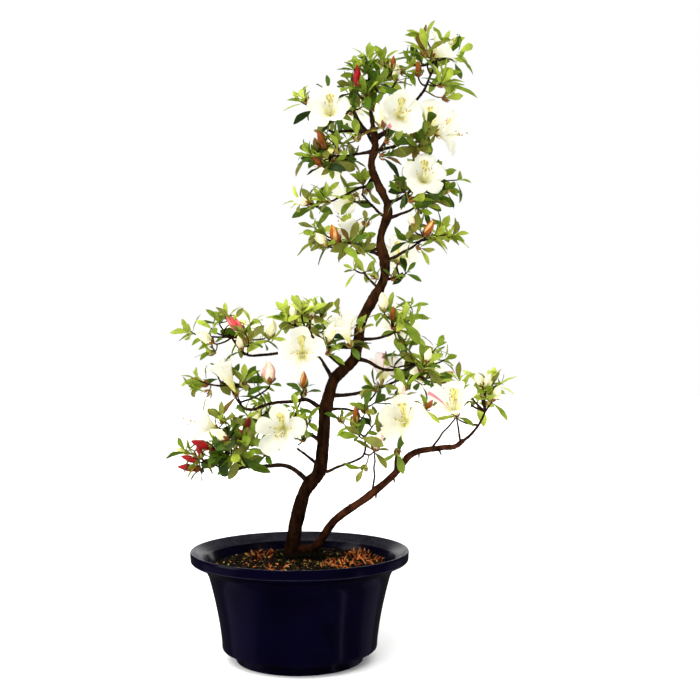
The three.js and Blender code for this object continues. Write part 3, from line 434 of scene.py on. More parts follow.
# The blade of a leaf: the share along it and the share of its half width there
LEAF_OUTLINE = np.array([
    (0, 0.1), (0.06, 0.11), (0.15, 0.28), (0.29, 0.58), (0.43, 0.84), (0.57, 1), (0.71, 0.96), (0.84, 0.66),
    (0.94, 0.29),
])

# The source's rule for shoots
BLOOM_DEPTH = 20
BUD_LENGTH = 22
SHOOT_ROOM = 17
BLOOM_ROOM = 23
SHOOT_TRIES = 60
KNEE_LENGTH = 9
TWIG_FORWARD = 0.15
TWIGS_ON_STEM = (0.97, 0.88, 0.79, 0.7, 0.6, 0.5, 0.4, 0.3, 0.2, 0.1)
MASS_SEED = 1000
BLOOM_SEED = 400
BUD_SEED = 600
SHOOT_SEED = 800

# Seeds of the finer growth and of the ground cover
STEM_SEED = 5000
TUFT_SEED = 9000
CALYX_SEED = 9500
GROUND_SEED = 71

# Twigs: the radii at foot and tip, and the room that a finer one needs
SPRAY_TWIG = (1.05, 0.7)
FINE_TWIG = (0.75, 0.55)
TWIG_ROOM = 11
STEM_TWIG_ROOM = 12
TWIG_STEP = 3
TWIG_SIDES = 7

# How boughs and twigs wander, the size of a bend and its reach, and the nodes along them, the spacing
# and the swelling
BOUGH_SWAY = (17, 1.6)
TWIG_SWAY = (8, 1.2)
BOUGH_NODES = (11, 0.16)
TWIG_NODES = (7, 0.22)

# Whorls of leaves: how many, how far they open from the tip back, in degrees, and their size
WHORLS = {
    "bloom": (3, (72, 108), 0.95), "bud": (4, (56, 92), 0.92), "small_bud": (3, (56, 92), 0.8),
    "leafy": (6, (22, 86), 0.95), "side": (4, (24, 86), 0.86), "stem_side": (4, (24, 88), 0.86),
}
TUFT_OPENING = (12, 64)

# Flowers and buds: the depth up to which a flower is open, the heads of stamens, and the scales,
# each row of a scale the share along it, of its half width and of its lift
OPEN_DEPTH = 30
KNOB_RADII = np.array((0.3, 0.8, 0.95, 0.8, 0.3))
SCALES_IN_RING = 7
SCALE_OUTLINE = ((0, 0.5, 0), (0.3, 1, 0.24), (0.65, 0.75, 0.3), (1, 0, 0.16))
SMALL_BUD = 18
BUD_RADIUS = 4.6
BUD_SIDES = 15

# A bud: the share along it and the share of its radius there
BUD_OUTLINE = np.array([
    (0, 0.3), (0.08, 0.55), (0.2, 0.82), (0.36, 0.98), (0.52, 1), (0.67, 0.86), (0.8, 0.62), (0.9, 0.38),
    (0.97, 0.17), (1, 0.05),
])


# Numbers and directions


def vec(row):
    return np.array(row, dtype=float)


def unit(v):
    return v / norm(v)


def mix(a, b, t):
    return a + (b - a) * t


def smooth(t):
    t = np.clip(t, 0, 1)
    return t * t * (3 - 2 * t)


def middles(rows):
    """Half way from each row to the next."""
    return (rows[1:] + rows[:-1]) / 2


def ring(sides):
    """Even angles once round."""
    return np.linspace(0, CIRCLE, sides, endpoint=False)


def heading(turn, tilt):
    """A direction from a turn away from the front and a tilt up."""
    turn, tilt = math.radians(turn), math.radians(tilt)
    return vec((math.sin(turn) * math.cos(tilt), -math.cos(turn) * math.cos(tilt), math.sin(tilt)))


def square_to(axis):
    """Two directions square to an axis and to one another."""
    guide = vec((1, 0, 0)) if abs(axis[2]) > 0.9 else UP
    side = unit(np.cross(axis, guide))
    return side, np.cross(axis, side)


def between(angle, side, front):
    """The direction at an angle from one direction to another that is square to it."""
    return math.cos(angle) * side + math.sin(angle) * front


def seeded(seed):
    """A repeatable run of numbers from 0 to 1, the same as the source's."""
    state = seed & 0xFFFFFFFF

    def draw():
        nonlocal state
        state = (state + 0x6D2B79F5) & 0xFFFFFFFF
        word = (state ^ state >> 15) * (state | 1) & 0xFFFFFFFF
        word = (word + ((word ^ word >> 7) * (word | 61)) & 0xFFFFFFFF) ^ word
        return ((word ^ word >> 14) & 0xFFFFFFFF) / 4294967296

    return draw


CELL_STEPS = np.array((374761393, 668265263, 2147483647))
SEED_STEP = 69069


def lattice(cell, seed):
    """A number from -1 to 1 for each cell of space."""
    word = cell @ CELL_STEPS + seed * SEED_STEP
    word = word & 0xFFFFFFFF
    word = ((word ^ word >> 13) * 1274126177) & 0xFFFFFFFF
    return ((word ^ word >> 16) & 0xFFFF) / 32767.5 - 1


def noise(points, size, seed=0):
    """Smooth noise from -1 to 1 with lumps of a given size."""
    scaled = np.asarray(points, dtype=float) / size
    cell = np.floor(scaled).astype(np.int64)
    part = smooth(scaled - cell)
    total = np.zeros(scaled.shape[:-1])
    for corner in np.ndindex(2, 2, 2):
        weight = np.prod(np.where(np.array(corner) == 1, part, 1 - part), axis=-1)
        total += weight * lattice(cell + np.array(corner), seed)
    return total


# Curves


def spline(bends, shares):
    """A smooth curve through bends, at shares of the way along."""
    bends = np.asarray(bends, dtype=float)
    last = len(bends) - 1
    place = np.clip(np.asarray(shares, dtype=float) * last, 0, last)
    step = np.minimum(place.astype(int), last - 1)
    t = (place - step)[:, None]
    ends = np.vstack((2 * bends[0] - bends[1], bends, 2 * bends[-1] - bends[-2]))
    a, b, c, d = (ends[step + k] for k in range(4))
    arrive, leave = (c - a) / 2, (d - b) / 2
    square = 3 * (c - b) - 2 * arrive - leave
    cube = 2 * (b - c) + arrive + leave
    return b + arrive * t + square * t**2 + cube * t**3


def bowed(start, control, end, shares):
    """A curve from start to end that is drawn towards a control point."""
    t = np.asarray(shares, dtype=float)[:, None]
    return start * (1 - t) ** 2 + control * 2 * t * (1 - t) + end * t**2


def swayed(path, shares, size, reach, seed):
    """A path that wanders a little between its ends."""
    sway = np.sin(math.pi * shares)[:, None] * reach
    return path + sway * np.stack([noise(path, size, seed + k) for k in range(3)], -1)


def leaf_nodes(along, spacing, size):
    """The swellings of a limb where leaves once stood, at lengths along it."""
    return size * np.maximum(0, np.cos(CIRCLE * along / spacing)) ** 6


# Meshes


def grid_faces(rows, columns, closed=False):
    """Four-cornered faces of a grid of points, closed round its columns or open."""
    across = np.arange(columns if closed else columns - 1)
    i, j = np.meshgrid(np.arange(rows - 1) * columns, across, indexing="ij")
    k = (j + 1) % columns
    return np.stack((i + j, i + k, i + columns + k, i + columns + j), -1).reshape(-1, 4)


class Heap:
    """Many small shapes of one kind, joined into one mesh."""

    def __init__(self):
        self.points = []
        self.faces = []
        self.shades = []
        self.count = 0

    def add(self, points, faces, shade=0):
        """Adds points, and faces that number them from the first."""
        first = self.count
        self.points.append(np.asarray(points, dtype=float).reshape(-1, 3))
        self.count += len(self.points[-1])
        self.close(first, faces, shade)

    def close(self, first, faces, shade):
        """Adds faces between points that are there already."""
        faces = np.asarray(faces, dtype=np.int64)
        self.faces.append(faces + first)
        self.shades.append(np.broadcast_to(np.asarray(shade, dtype=np.int64), (len(faces),)))

    def build(self, name, slot, materials, *nodes):
        """Makes the piece, which rides on the root and may stand for nodes of the frame."""
        mesh = bpy.data.meshes.new(name)
        points = np.concatenate(self.points) * MM
        corners = np.concatenate([faces.ravel() for faces in self.faces])
        sizes = np.concatenate([np.full(len(faces), faces.shape[1]) for faces in self.faces])
        mesh.vertices.add(len(points))
        mesh.vertices.foreach_set("co", points.ravel())
        mesh.loops.add(len(corners))
        mesh.loops.foreach_set("vertex_index", corners)
        mesh.polygons.add(len(sizes))
        mesh.polygons.foreach_set("loop_start", np.cumsum(sizes) - sizes)
        mesh.polygons.foreach_set("material_index", np.concatenate(self.shades))
        mesh.polygons.foreach_set("use_smooth", np.ones(len(sizes), dtype=bool))
        for material in materials:
            mesh.materials.append(material)
        mesh.update(calc_edges=True)
        mesh.validate()
        piece = bpy.data.objects.new(name, mesh)
        bpy.context.scene.collection.objects.link(piece)
        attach(piece, "root")
        if nodes:
            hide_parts(*nodes)


def tube(heap, path, radii, sides, shade=0, relief=None):
    """A tapering limb along a path, closed at its end."""
    along = np.gradient(path, axis=0)
    along /= norm(along, axis=1)[:, None]
    side = square_to(along[0])[0]
    rights = []
    for step in along:
        side = unit(side - step * (side @ step))
        rights.append(side)
    rights = np.array(rights)
    fronts = np.cross(along, rights)
    turn = ring(sides)[None, :, None]
    outward = np.cos(turn) * rights[:, None] + np.sin(turn) * fronts[:, None]
    points = path[:, None] + outward * radii[:, None, None]
    if relief is not None:
        points = points + outward * relief(points)[..., None]
    tip = path[-1] + along[-1] * radii[-1] * 0.5
    last = (len(path) - 1) * sides + np.arange(sides)
    cap = np.stack((last, np.roll(last, -1), np.full(sides, len(path) * sides)), -1)
    first = heap.count
    heap.add(np.vstack((points.reshape(-1, 3), tip)), grid_faces(len(path), sides, True), shade)
    heap.close(first, cap, shade)


# Materials


def linear(rgb):
    """A screen colour in the linear light that shaders work in."""
    share = np.asarray(rgb, dtype=float) / 255
    return np.where(share <= 0.04045, share / 12.92, ((share + 0.055) / 1.055) ** 2.4)


def node(tree, kind, **values):
    """A new node with some of its inputs set; a low line in a name stands for a space."""
    made = tree.nodes.new(kind)
    for name, value in values.items():
        made.inputs[name.replace("_", " ")].default_value = value
    return made


def wire(tree, start, output, end, socket):
    tree.links.new(start.outputs[output], end.inputs[socket])


def ramp(tree, source, output, positions, colours):
    """Colours dealt out by a number from another node."""
    made = node(tree, "ShaderNodeValToRGB")
    for stop, position, colour in zip(made.color_ramp.elements, positions, colours):
        stop.position = position
        stop.color = (*colour, 1)
    wire(tree, source, output, made, "Fac")
    return made


def noises(tree, place, grain, fine, stretch):
    """Coarse and fine noise over a surface, grains to the metre."""
    mapping = node(tree, "ShaderNodeMapping", Scale=stretch)
    wire(tree, place, "Object", mapping, "Vector")
    coarse = node(tree, "ShaderNodeTexNoise", Scale=grain, Detail=4)
    small = node(tree, "ShaderNodeTexNoise", Scale=fine, Detail=3)
    for texture in (coarse, small):
        wire(tree, mapping, "Vector", texture, "Vector")
    return coarse, small


def painted_shade_downwards(tree, place, colours, low, high, left):
    """Painted shade: colours that fade downwards from a high level, with a share of them left below a low
    one.
    """
    parts = node(tree, "ShaderNodeSeparateXYZ")
    wire(tree, place, "Object", parts, "Vector")
    share = node(tree, "ShaderNodeMapRange", From_Min=low, From_Max=high, To_Min=left)
    wire(tree, parts, "Z", share, "Value")
    scaled = node(tree, "ShaderNodeVectorMath")
    scaled.operation = "SCALE"
    wire(tree, colours, "Color", scaled, 0)
    wire(tree, share, "Result", scaled, "Scale")
    return scaled


def roughened(tree, small, surface, rough, bump, depth):
    """Fine noise as a spread of roughness and as relief."""
    spread = node(tree, "ShaderNodeMapRange", To_Min=max(rough - 0.12, 0.05), To_Max=min(rough + 0.12, 1))
    wire(tree, small, "Fac", spread, "Value")
    wire(tree, spread, "Result", surface, "Roughness")
    relief = node(tree, "ShaderNodeBump", Strength=bump, Distance=depth * MM)
    wire(tree, small, "Fac", relief, "Height")
    wire(tree, relief, "Normal", surface, "Normal")


def thinned(tree, surface, colours, through):
    """Lets a share of the light through a leaf or petal."""
    behind = node(tree, "ShaderNodeBsdfTranslucent")
    wire(tree, colours, "Color", behind, "Color")
    both = node(tree, "ShaderNodeMixShader", Fac=through)
    wire(tree, surface, 0, both, 1)
    wire(tree, behind, 0, both, 2)
    wire(tree, both, 0, tree.nodes["Material Output"], "Surface")


def material(name, rgb, rough=0.5, vary=0.25, grain=60, fine=900, bump=0.15, depth=0.3, stretch=(1, 1, 1),
             dark=None, level=0.5, shade=None, through=0, ends=(0.32, 0.68)):
    """A surface whose colour, roughness and relief follow two sizes of noise; a given shade paints shade that
    darkens it downwards.
    """
    made = bpy.data.materials.new(name)
    made.use_nodes = True
    tree = made.node_tree
    surface = tree.nodes["Principled BSDF"]
    surface.inputs["Specular IOR Level"].default_value = level
    place = node(tree, "ShaderNodeTexCoord")
    coarse, small = noises(tree, place, grain, fine, stretch)
    colour = linear(rgb)
    low = colour * (1 - vary) if dark is None else linear(dark)
    colours = ramp(tree, coarse, "Fac", ends, (low, np.minimum(colour * (1 + vary), 1)))
    shown = painted_shade_downwards(tree, place, colours, *shade) if shade else colours
    wire(tree, shown, 0, surface, "Base Color")
    roughened(tree, small, surface, rough, bump, depth)
    if through:
        thinned(tree, surface, colours, through)
    return made


# Pot and soil materials
pot_wall = material("pot_navy", (2, 1, 15), rough=0.18, vary=0.3, grain=30, fine=500, bump=0.03, level=0.12)
pot_lip = material("pot_lip_worn", (26, 25, 34), rough=0.3, vary=0.5, grain=140, fine=700, bump=0.1,
                   level=0.4)
soil_ground = material("soil_ground", (11, 7, 4), rough=0.95, vary=0.5, grain=180, fine=900, bump=0.6,
                       depth=1.2, level=0.1)
GRAIN_LOOK = dict(rough=0.9, grain=400, fine=1500, bump=0.4, level=0.1)
GRAIN_COLOURS = [
    ("dark", (19, 13, 9), 0.4), ("brown", (36, 21, 12), 0.35), ("tan", (96, 70, 36), 0.25),
    ("pale", (150, 138, 80), 0.15),
]
grains = [material(f"grain_{name}", rgb, vary=vary, **GRAIN_LOOK) for name, rgb, vary in GRAIN_COLOURS]
FIBRE_LOOK = dict(rough=0.9, level=0.1, grain=300, fine=1500, bump=0.2)
MOSS_LOOK = dict(rough=0.95, level=0.05, grain=300, fine=1500, bump=0.2)
fibres = [
    material("fibre_rust", (122, 54, 21), vary=0.35, **FIBRE_LOOK),
    material("fibre_straw", (176, 108, 56), vary=0.25, **FIBRE_LOOK),
    material("moss_dark", (13, 12, 5), vary=0.35, **MOSS_LOOK),
    material("moss_tip", (78, 70, 28), vary=0.35, **MOSS_LOOK),
]

# Bark, with painted shade that darkens the trunk and the second stem near the soil
bark_trunk = material("bark_trunk", (60, 34, 16), rough=0.85, vary=0.35, grain=190, fine=700, bump=1,
                      depth=1.2, level=0.03, stretch=(1, 1, 0.4), dark=(12, 6, 3),
                      shade=(0.1, 0.36, 0.2), ends=(0.3, 0.74))
bark_stem = material("bark_stem", (70, 36, 20), rough=0.8, vary=0.3, grain=190, fine=800, bump=1, depth=1,
                     level=0.03, stretch=(0.6, 1, 0.6), dark=(20, 9, 5), shade=(0.1, 0.16, 0.14),
                     ends=(0.3, 0.72))
bark_bough = material("bark_bough", (46, 30, 22), rough=0.85, vary=0.35, grain=220, fine=1000, bump=0.5,
                      depth=0.4, level=0.03, dark=(17, 11, 8))
bark_twig = material("bark_twig", (52, 34, 22), rough=0.8, vary=0.35, grain=260, fine=1200, bump=0.4,
                     depth=0.2, level=0.03, dark=(20, 13, 9))
bark_green = material("bark_green_twig", (98, 92, 40), rough=0.7, vary=0.3, grain=260, fine=1200, bump=0.3,
                      depth=0.2, level=0.1)
cut_wood = material("cut_wood", (150, 112, 78), rough=0.9, vary=0.2, grain=300, fine=1200, bump=0.4)

# Leaves, from dark to bright, then the olive and brown ones; dark to bright is partly the leaves' own age and
# partly painted light, the higher leaves of a mass getting the brighter ones
LEAF_LOOK = dict(rough=0.45, vary=0.25, grain=90, fine=700, bump=0.25, depth=0.25, level=0.4, through=0.3)
LEAF_COLOURS = {
    "dark": (34, 54, 8), "deep": (71, 96, 16), "mid": (118, 139, 33), "bright": (163, 178, 60),
    "new": (206, 214, 116), "olive": (116, 118, 42), "brown": (104, 80, 28),
}
LEAVES = list(LEAF_COLOURS)
BRIGHTEST = LEAVES.index("new")
OLIVE_LEAF = LEAVES.index("olive")
BROWN_LEAF = LEAVES.index("brown")
leaf_shades = [material(f"leaf_{name}", rgb, **LEAF_LOOK) for name, rgb in LEAF_COLOURS.items()]

# Petals: the colour and how much it varies; what a flower is where it isn't white, the lower right flower's
# darker petals being painted shade, and which has no blotch
PETAL_LOOK = dict(rough=0.55, grain=160, fine=600, bump=0.12, depth=0.2, level=0.3, through=0.54)
PETAL_COLOURS = {
    "white": ((241, 239, 225), 0.03), "cream": ((238, 233, 202), 0.04), "throat": ((235, 230, 152), 0.06),
    "blotch": ((233, 224, 146), 0.06), "pink": ((222, 140, 150), 0.12), "blush": ((246, 234, 228), 0.04),
    "speck": ((192, 178, 96), 0.15), "ivory_painted_shade": ((232, 229, 206), 0.05),
}
WHITE, CREAM, THROAT, BLOTCH, PINK, BLUSH, SPECK, IVORY_PAINTED_SHADE = range(len(PETAL_COLOURS))
# The lower right flower gets painted shade: petals darker and creamier than white
PLAIN_SHADES = {"right_bloom": IVORY_PAINTED_SHADE, "mid_right": BLUSH}
UNSPOTTED = {"mid_right"}
petal_shades = [material(f"petal_{name}", rgb, vary=vary, **PETAL_LOOK)
                for name, (rgb, vary) in PETAL_COLOURS.items()]

# Stamens and the pistil
filament = material("filament", (214, 212, 176), rough=0.5, vary=0.1, grain=200, fine=900, bump=0.1)
anther = material("anther", (164, 126, 64), rough=0.7, vary=0.2, grain=600, fine=1500, bump=0.3)
stigma = material("stigma", (140, 146, 60), rough=0.6, vary=0.2, grain=600, fine=1500, bump=0.3)

# Buds: the colours, the second colour of some, how far scales cover them, and how thick they are
BUD_LOOK = dict(rough=0.4, vary=0.2, grain=240, fine=900, bump=0.2, depth=0.2, level=0.25)
BUD_COLOURS = {
    "cream": (228, 220, 172), "pale": (236, 228, 196), "blush": (222, 190, 172), "pink": (196, 62, 66),
    "rose": (206, 104, 100), "striped": (232, 216, 190), "flush": (222, 158, 144), "red": (138, 14, 18),
    "crimson": (92, 14, 18), "orange": (160, 80, 22), "russet": (128, 66, 16), "tan": (206, 160, 96),
}
BUDS_OF_TWO = {"pink": "rose", "blush": "cream", "cream": "pale", "striped": "flush", "orange": "tan"}
BUD_COVER = (0.26, 0.46)
BUD_COVERS = {"russet": (0.45, 0.8), "orange": (0.35, 0.6), "striped": (0.35, 0.55)}
BUD_GIRTH = 0.95
BUD_GIRTHS = {"red": 0.78, "crimson": 0.74, "russet": 0.8, "striped": 1.5, "cream": 1.12, "pink": 1.15}
bud_shades = [material(f"bud_{name}", rgb, **BUD_LOOK) for name, rgb in BUD_COLOURS.items()]
SCALE_LOOK = dict(rough=0.6, grain=300, fine=1200, bump=0.3)
scale_shades = [
    material("scale_brown", (124, 70, 20), vary=0.3, **SCALE_LOOK),
    material("scale_green", (146, 140, 60), vary=0.25, **SCALE_LOOK),
]


# Pot


def polar(radii, sides):
    """The x and y of rings of points, one ring for each radius."""
    turn = ring(sides)
    return radii[:, None] * np.cos(turn), radii[:, None] * np.sin(turn)


def wall_radius(height):
    """The outside of the wall, which flares upwards."""
    share = max(0, (height - FOOT_HEIGHT) / (SHOULDER_HEIGHT - FOOT_HEIGHT))
    return BASE_RADIUS + (SHOULDER_RADIUS - BASE_RADIUS) * share**FLARE_POWER


def eased(rows):
    """An outline with its corners rounded off; each row is a radius, a height and the rounding."""
    outline = []
    for k, (radius, height, ease) in enumerate(rows):
        corner = vec((radius, height))
        if not ease:
            outline.append(corner)
            continue
        before, after = (vec(rows[n][:2]) - corner for n in (k - 1, k + 1))
        start = corner + unit(before) * min(ease, 0.45 * norm(before))
        end = corner + unit(after) * min(ease, 0.45 * norm(after))
        outline.extend(bowed(start, corner, end, np.linspace(0, 1, 7)))
    return np.array(outline)


def pot_outline():
    """From the middle of the underside out, up and over the lip, and down inside to the middle."""
    rows = [(POT_PINHOLE, 0, 0), (FOOT_RADIUS, 0, 1)]
    rows += [(FOOT_RADIUS, FOOT_HEIGHT, 1.5), (BASE_RADIUS, FOOT_HEIGHT, 5)]
    rows += [(wall_radius(height), height, 0) for height in WALL_RINGS]
    rows += [
        (SHOULDER_RADIUS, SHOULDER_HEIGHT, 3), (NECK_RADIUS, NECK_HEIGHT, 2.5),
        (LIP_RADIUS - LIP_EDGE, POT_HEIGHT - LIP_HEIGHT, 2), (LIP_RADIUS, POT_HEIGHT - 1, 2),
        (LIP_RADIUS - 1.5, POT_HEIGHT, 1.2), (LIP_RADIUS - LIP_WIDTH, POT_HEIGHT - LIP_FALL, 3),
    ]
    rows += [(wall_radius(height) - WALL, height, 0) for height in INNER_RINGS]
    return eased(rows + [(POT_PINHOLE, FOOT_HEIGHT + WALL, 0)])


def make_pot():
    """The outline turned once round, with a worn lip."""
    outline = pot_outline()
    x, y = polar(outline[:, 0], POT_SIDES)
    points = np.stack((x, y, np.broadcast_to(outline[:, 1:], x.shape)), -1)
    radius, level = middles(outline).T
    worn = level > POT_HEIGHT - LIP_FALL - LIP_WEAR
    worn &= (radius < LIP_RADIUS - LIP_EDGE) & (radius > LIP_RADIUS - LIP_WIDTH - LIP_WEAR)
    pot = Heap()
    pot.add(points, grid_faces(len(outline), POT_SIDES, True), np.repeat(worn, POT_SIDES))
    pot.build("pot_shell", "pot_plastic", [pot_wall, pot_lip], "pot")


make_pot()


# Soil


def soil_height(x, y):
    """The level of the soil: the source's ridge and clumps, a little lower under moss, and finer lumps."""
    from_middle = np.hypot(x, y)
    outward = smooth((from_middle - SOIL_LEVEL_RADIUS) / (SOIL_RADIUS - SOIL_LEVEL_RADIUS))
    from_foot = np.hypot(x - TRUNK_BENDS[0][0], y - TRUNK_BENDS[0][1])
    rise = RIDGE_HEIGHT * np.exp(-(((from_foot - RIDGE_RADIUS) / RIDGE_WIDTH) ** 2))
    for (cx, cy), (wide, deep), tall, *_ in CLUMPS:
        rise = rise + CLUMP_SHARE * tall * np.exp(-(((x - cx) / wide) ** 2) - ((y - cy) / deep) ** 2)
    spot = np.stack((x, y, np.zeros_like(x)), -1)
    for tall, size, seed in SOIL_LUMPS:
        rise = rise + tall * noise(spot, size, seed)
    return mix(SOIL_LEVEL, SOIL_EDGE, outward) + rise * smooth((SOIL_RADIUS - from_middle) / SOIL_FADE)


def make_soil():
    """The bed, with a skirt and a bottom inside the pot."""
    radii = np.append(np.linspace(BED_PINHOLE, BED_RADIUS, BED_RINGS), (BED_FOOT, BED_PINHOLE))
    x, y = polar(radii, BED_SIDES)
    height = soil_height(x, y)
    height[-2:] = BED_BOTTOM
    soil = Heap()
    soil.add(np.stack((x, y, height), -1), grid_faces(len(radii), BED_SIDES, True)[:, ::-1])
    soil.build("soil_bed", "soil", [soil_ground], "soil")


def ball_corners():
    """The twelve corners of a twenty-faced ball with edges 2 long."""
    golden = (1 + math.sqrt(5)) / 2
    flat = [(s, t * golden, 0) for s in (-1, 1) for t in (-1, 1)]
    return np.array(flat + [(0, p, q) for p, q, _ in flat] + [(q, 0, p) for p, q, _ in flat])


def ball_faces(corners):
    """Its faces: every three corners that are an edge apart."""
    gaps = norm(corners[:, None] - corners[None], axis=-1)
    faces = []
    for a, b, c in itertools.combinations(range(len(corners)), 3):
        if max(gaps[a, b], gaps[b, c], gaps[a, c]) < 2.1:
            outward = np.cross(corners[b] - corners[a], corners[c] - corners[a]) @ corners[a]
            faces.append((a, b, c) if outward > 0 else (a, c, b))
    return np.array(faces)


BALL = ball_corners()
BALL_FACES = ball_faces(BALL)


def grain_shade(x, y, draw):
    """Dark, brown, tan or pale; most of the pale ones lie in front of the trunk."""
    away = (x - PALE_MIDDLE[0]) ** 2 + (y - PALE_MIDDLE[1]) ** 2
    pale = 0.5 * math.exp(-away / (2 * PALE_SPREAD**2)) + (0.1 if x < -15 else 0.04)
    pick = draw()
    if pick < pale:
        return PALE if draw() < 0.35 else TAN
    return BROWN_GRAIN if pick < pale + 0.22 else DARK


def add_grain(heap, draw):
    """A rough grain somewhere on the soil: a ball, squashed, knocked about and spun."""
    radius = GRAIN_REACH * math.sqrt(draw())
    angle = draw() * CIRCLE
    x = radius * math.cos(angle)
    y = radius * math.sin(angle)
    if math.hypot(x - CLEARING_MIDDLE, y) < GRAIN_CLEARING:
        return
    shade = grain_shade(x, y, draw)
    size = mix(*GRAIN_SIZES, draw() ** 1.5) * (0.85 if shade in (TAN, PALE) else 1)
    squash = vec((mix(0.8, 1.25, draw()), mix(0.8, 1.2, draw()), mix(0.55, 0.9, draw())))
    knocks = np.array([mix(0.8, 1.2, draw()) for _ in BALL])
    rough_ball = BALL / 1.9 * squash * knocks[:, None]
    spin = draw() * CIRCLE
    cos, sin = math.cos(spin), math.sin(spin)
    rough_ball = rough_ball @ np.array(((cos, sin, 0), (-sin, cos, 0), (0, 0, 1)))
    heap.add(vec((x, y, soil_height(x, y) + 0.35 * size)) + rough_ball * size, BALL_FACES, shade)


def add_strand(heap, middle, spread, kind, draw):
    """A fibre that leans out of the soil and droops at its end; none that would lie on the pot."""
    longest, radius, tilts, shares = STRANDS[kind]
    angle = draw() * CIRCLE
    out = math.sqrt(draw())
    x = middle[0] + STRAND_SPREAD * spread[0] * out * math.cos(angle)
    y = middle[1] + STRAND_SPREAD * spread[1] * out * math.sin(angle)
    if math.hypot(x, y) > STRAND_REACH:
        return
    start = vec((x, y, soil_height(x, y) - 0.3))
    lean = heading(draw() * 360, mix(*tilts, draw()))
    length = mix(0.45, 1, draw()) * longest
    bend = start + lean * length * 0.6 + UP * 0.8
    end = start + lean * length + vec((mix(-2, 2, draw()), mix(-2, 2, draw()), -1.2))
    tone = int(np.searchsorted(np.cumsum(shares), draw()))
    if math.hypot(end[0], end[1]) <= STRAND_END_REACH:
        steps = np.linspace(0, 1, len(STRAND_TAPER))
        tube(heap, bowed(start, bend, end, steps), radius * STRAND_TAPER, 4, tone)


def make_ground_cover():
    """Grains, then moss and fibres, all from one run of numbers."""
    draw = seeded(GROUND_SEED)
    stones = Heap()
    for _ in range(GRAINS):
        add_grain(stones, draw)
    stones.build("soil_grains", "soil", grains)
    strands = Heap()
    clumped = [(middle, spread, count, kind) for middle, spread, _, count, kind in CLUMPS]
    for middle, spread, count, kind in clumped + LOOSE_STRANDS:
        for _ in range(count):
            add_strand(strands, middle, spread, kind, draw)
    strands.build("soil_moss", "soil", fibres)


make_soil()
make_ground_cover()


# Trunk, second stem and boughs

LINES = {
    "trunk": spline(TRUNK_BENDS, np.linspace(0, 1, 2001)),
    "second_stem": spline(STEM_BENDS, np.linspace(0, 1, 1201)),
}


def at_height(line, height):
    """The point of a line at a height."""
    return np.array([np.interp(height, line[:, 2], line[:, k]) for k in range(3)])


def bough_curve(name):
    """The foot, control point and tip of a bough, and its radii."""
    height, tip, lift, radii = BOUGHS[name]
    foot = at_height(LINES["trunk"], height)
    return foot, (foot + vec(tip)) / 2 + UP * 2 * lift, vec(tip), radii


def bough_knots():
    """Where each bough swells the trunk, and how thick it is there."""
    for name in BOUGHS:
        foot, control, _, radii = bough_curve(name)
        yield foot + unit(control - foot) * KNOT_OUT, radii[0]


KNOTS = list(bough_knots())


def bark(depth, seed):
    """The relief of bark: lumps, upright plates and fine grain."""

    def relief(points):
        lumps = noise(points, 12, seed) + 0.5 * noise(points, 5.5, seed + 1)
        plates = 0.5 - np.abs(noise(points * (1, 1, 0.4), 2.6, seed + 2))
        return depth * (0.55 * lumps + 0.55 * plates + 0.25 * noise(points, 1.2, seed + 3))

    return relief


def trunk_relief(points):
    """Bark, rings, the knots where boughs leave and the ribs of the root flare."""
    swell = bark(1.15, 31)(points) + 0.45 * noise(points * (0.15, 0.15, 1), 7, 37)
    for place, size in KNOTS:
        away = np.sum((points - place) ** 2, -1)
        swell = swell + KNOT_SWELL * size * np.exp(-away / (2 * KNOT_SPREAD**2))
    flare = np.exp((SOIL_LEVEL - points[..., 2]) / RIB_HEIGHT)
    angle = np.arctan2(points[..., 1], points[..., 0] - TRUNK_BENDS[0][0])
    return swell + flare * (2.2 * np.cos(3 * angle + 0.6) + 1.4 * np.cos(5 * angle + 2) + 0.8)


def add_scar(heap):
    """The pale oval where a shoot was cut off the trunk."""
    facing = heading(*SCAR_FACING)
    side, front = square_to(facing)
    turn = ring(SCAR_SIDES)[:, None]
    oval = np.cos(turn) * side + np.sin(turn) * front * SCAR_STRETCH
    points = [vec(SCAR_PLACE) + oval * radius + facing * out for radius, out in SCAR_RINGS]
    heap.add(points, grid_faces(len(SCAR_RINGS), SCAR_SIDES, True)[:, ::-1], 1)


def make_trunk():
    shares = np.linspace(0, 1, 430)
    path = spline(TRUNK_BENDS, shares)
    path[:, 2] -= FOOT_SINK * np.exp((SOIL_LEVEL - path[:, 2]) / FOOT_SINK_HEIGHT)
    flare = ROOT_FLARE * np.exp((SOIL_LEVEL - path[:, 2]) / ROOT_FLARE_HEIGHT)
    trunk = Heap()
    tube(trunk, path, mix(*TRUNK_RADII, shares**TAPER_POWER) + flare, 48, 0, trunk_relief)
    add_scar(trunk)
    trunk.build("trunk_bark", "bark", [bark_trunk, cut_wood], "trunk")


def make_second_stem():
    shares = np.linspace(0, 1, 260)
    stem = Heap()
    tube(stem, spline(STEM_BENDS, shares), mix(*STEM_RADII, shares), 32, 0, bark(0.6, 47))
    steps = np.linspace(0, 1, 6)
    for share, turn, tilt, length, radius in STUBS:
        reach = mix(*STEM_RADII, share) + length
        path = spline(STEM_BENDS, [share]) + heading(turn, tilt) * steps[:, None] * reach
        tube(stem, path, mix(radius, radius * 0.6, steps), 10, 0, bark(0.3, 53))
    stem.build("second_stem_bark", "bark", [bark_stem], "second_stem")


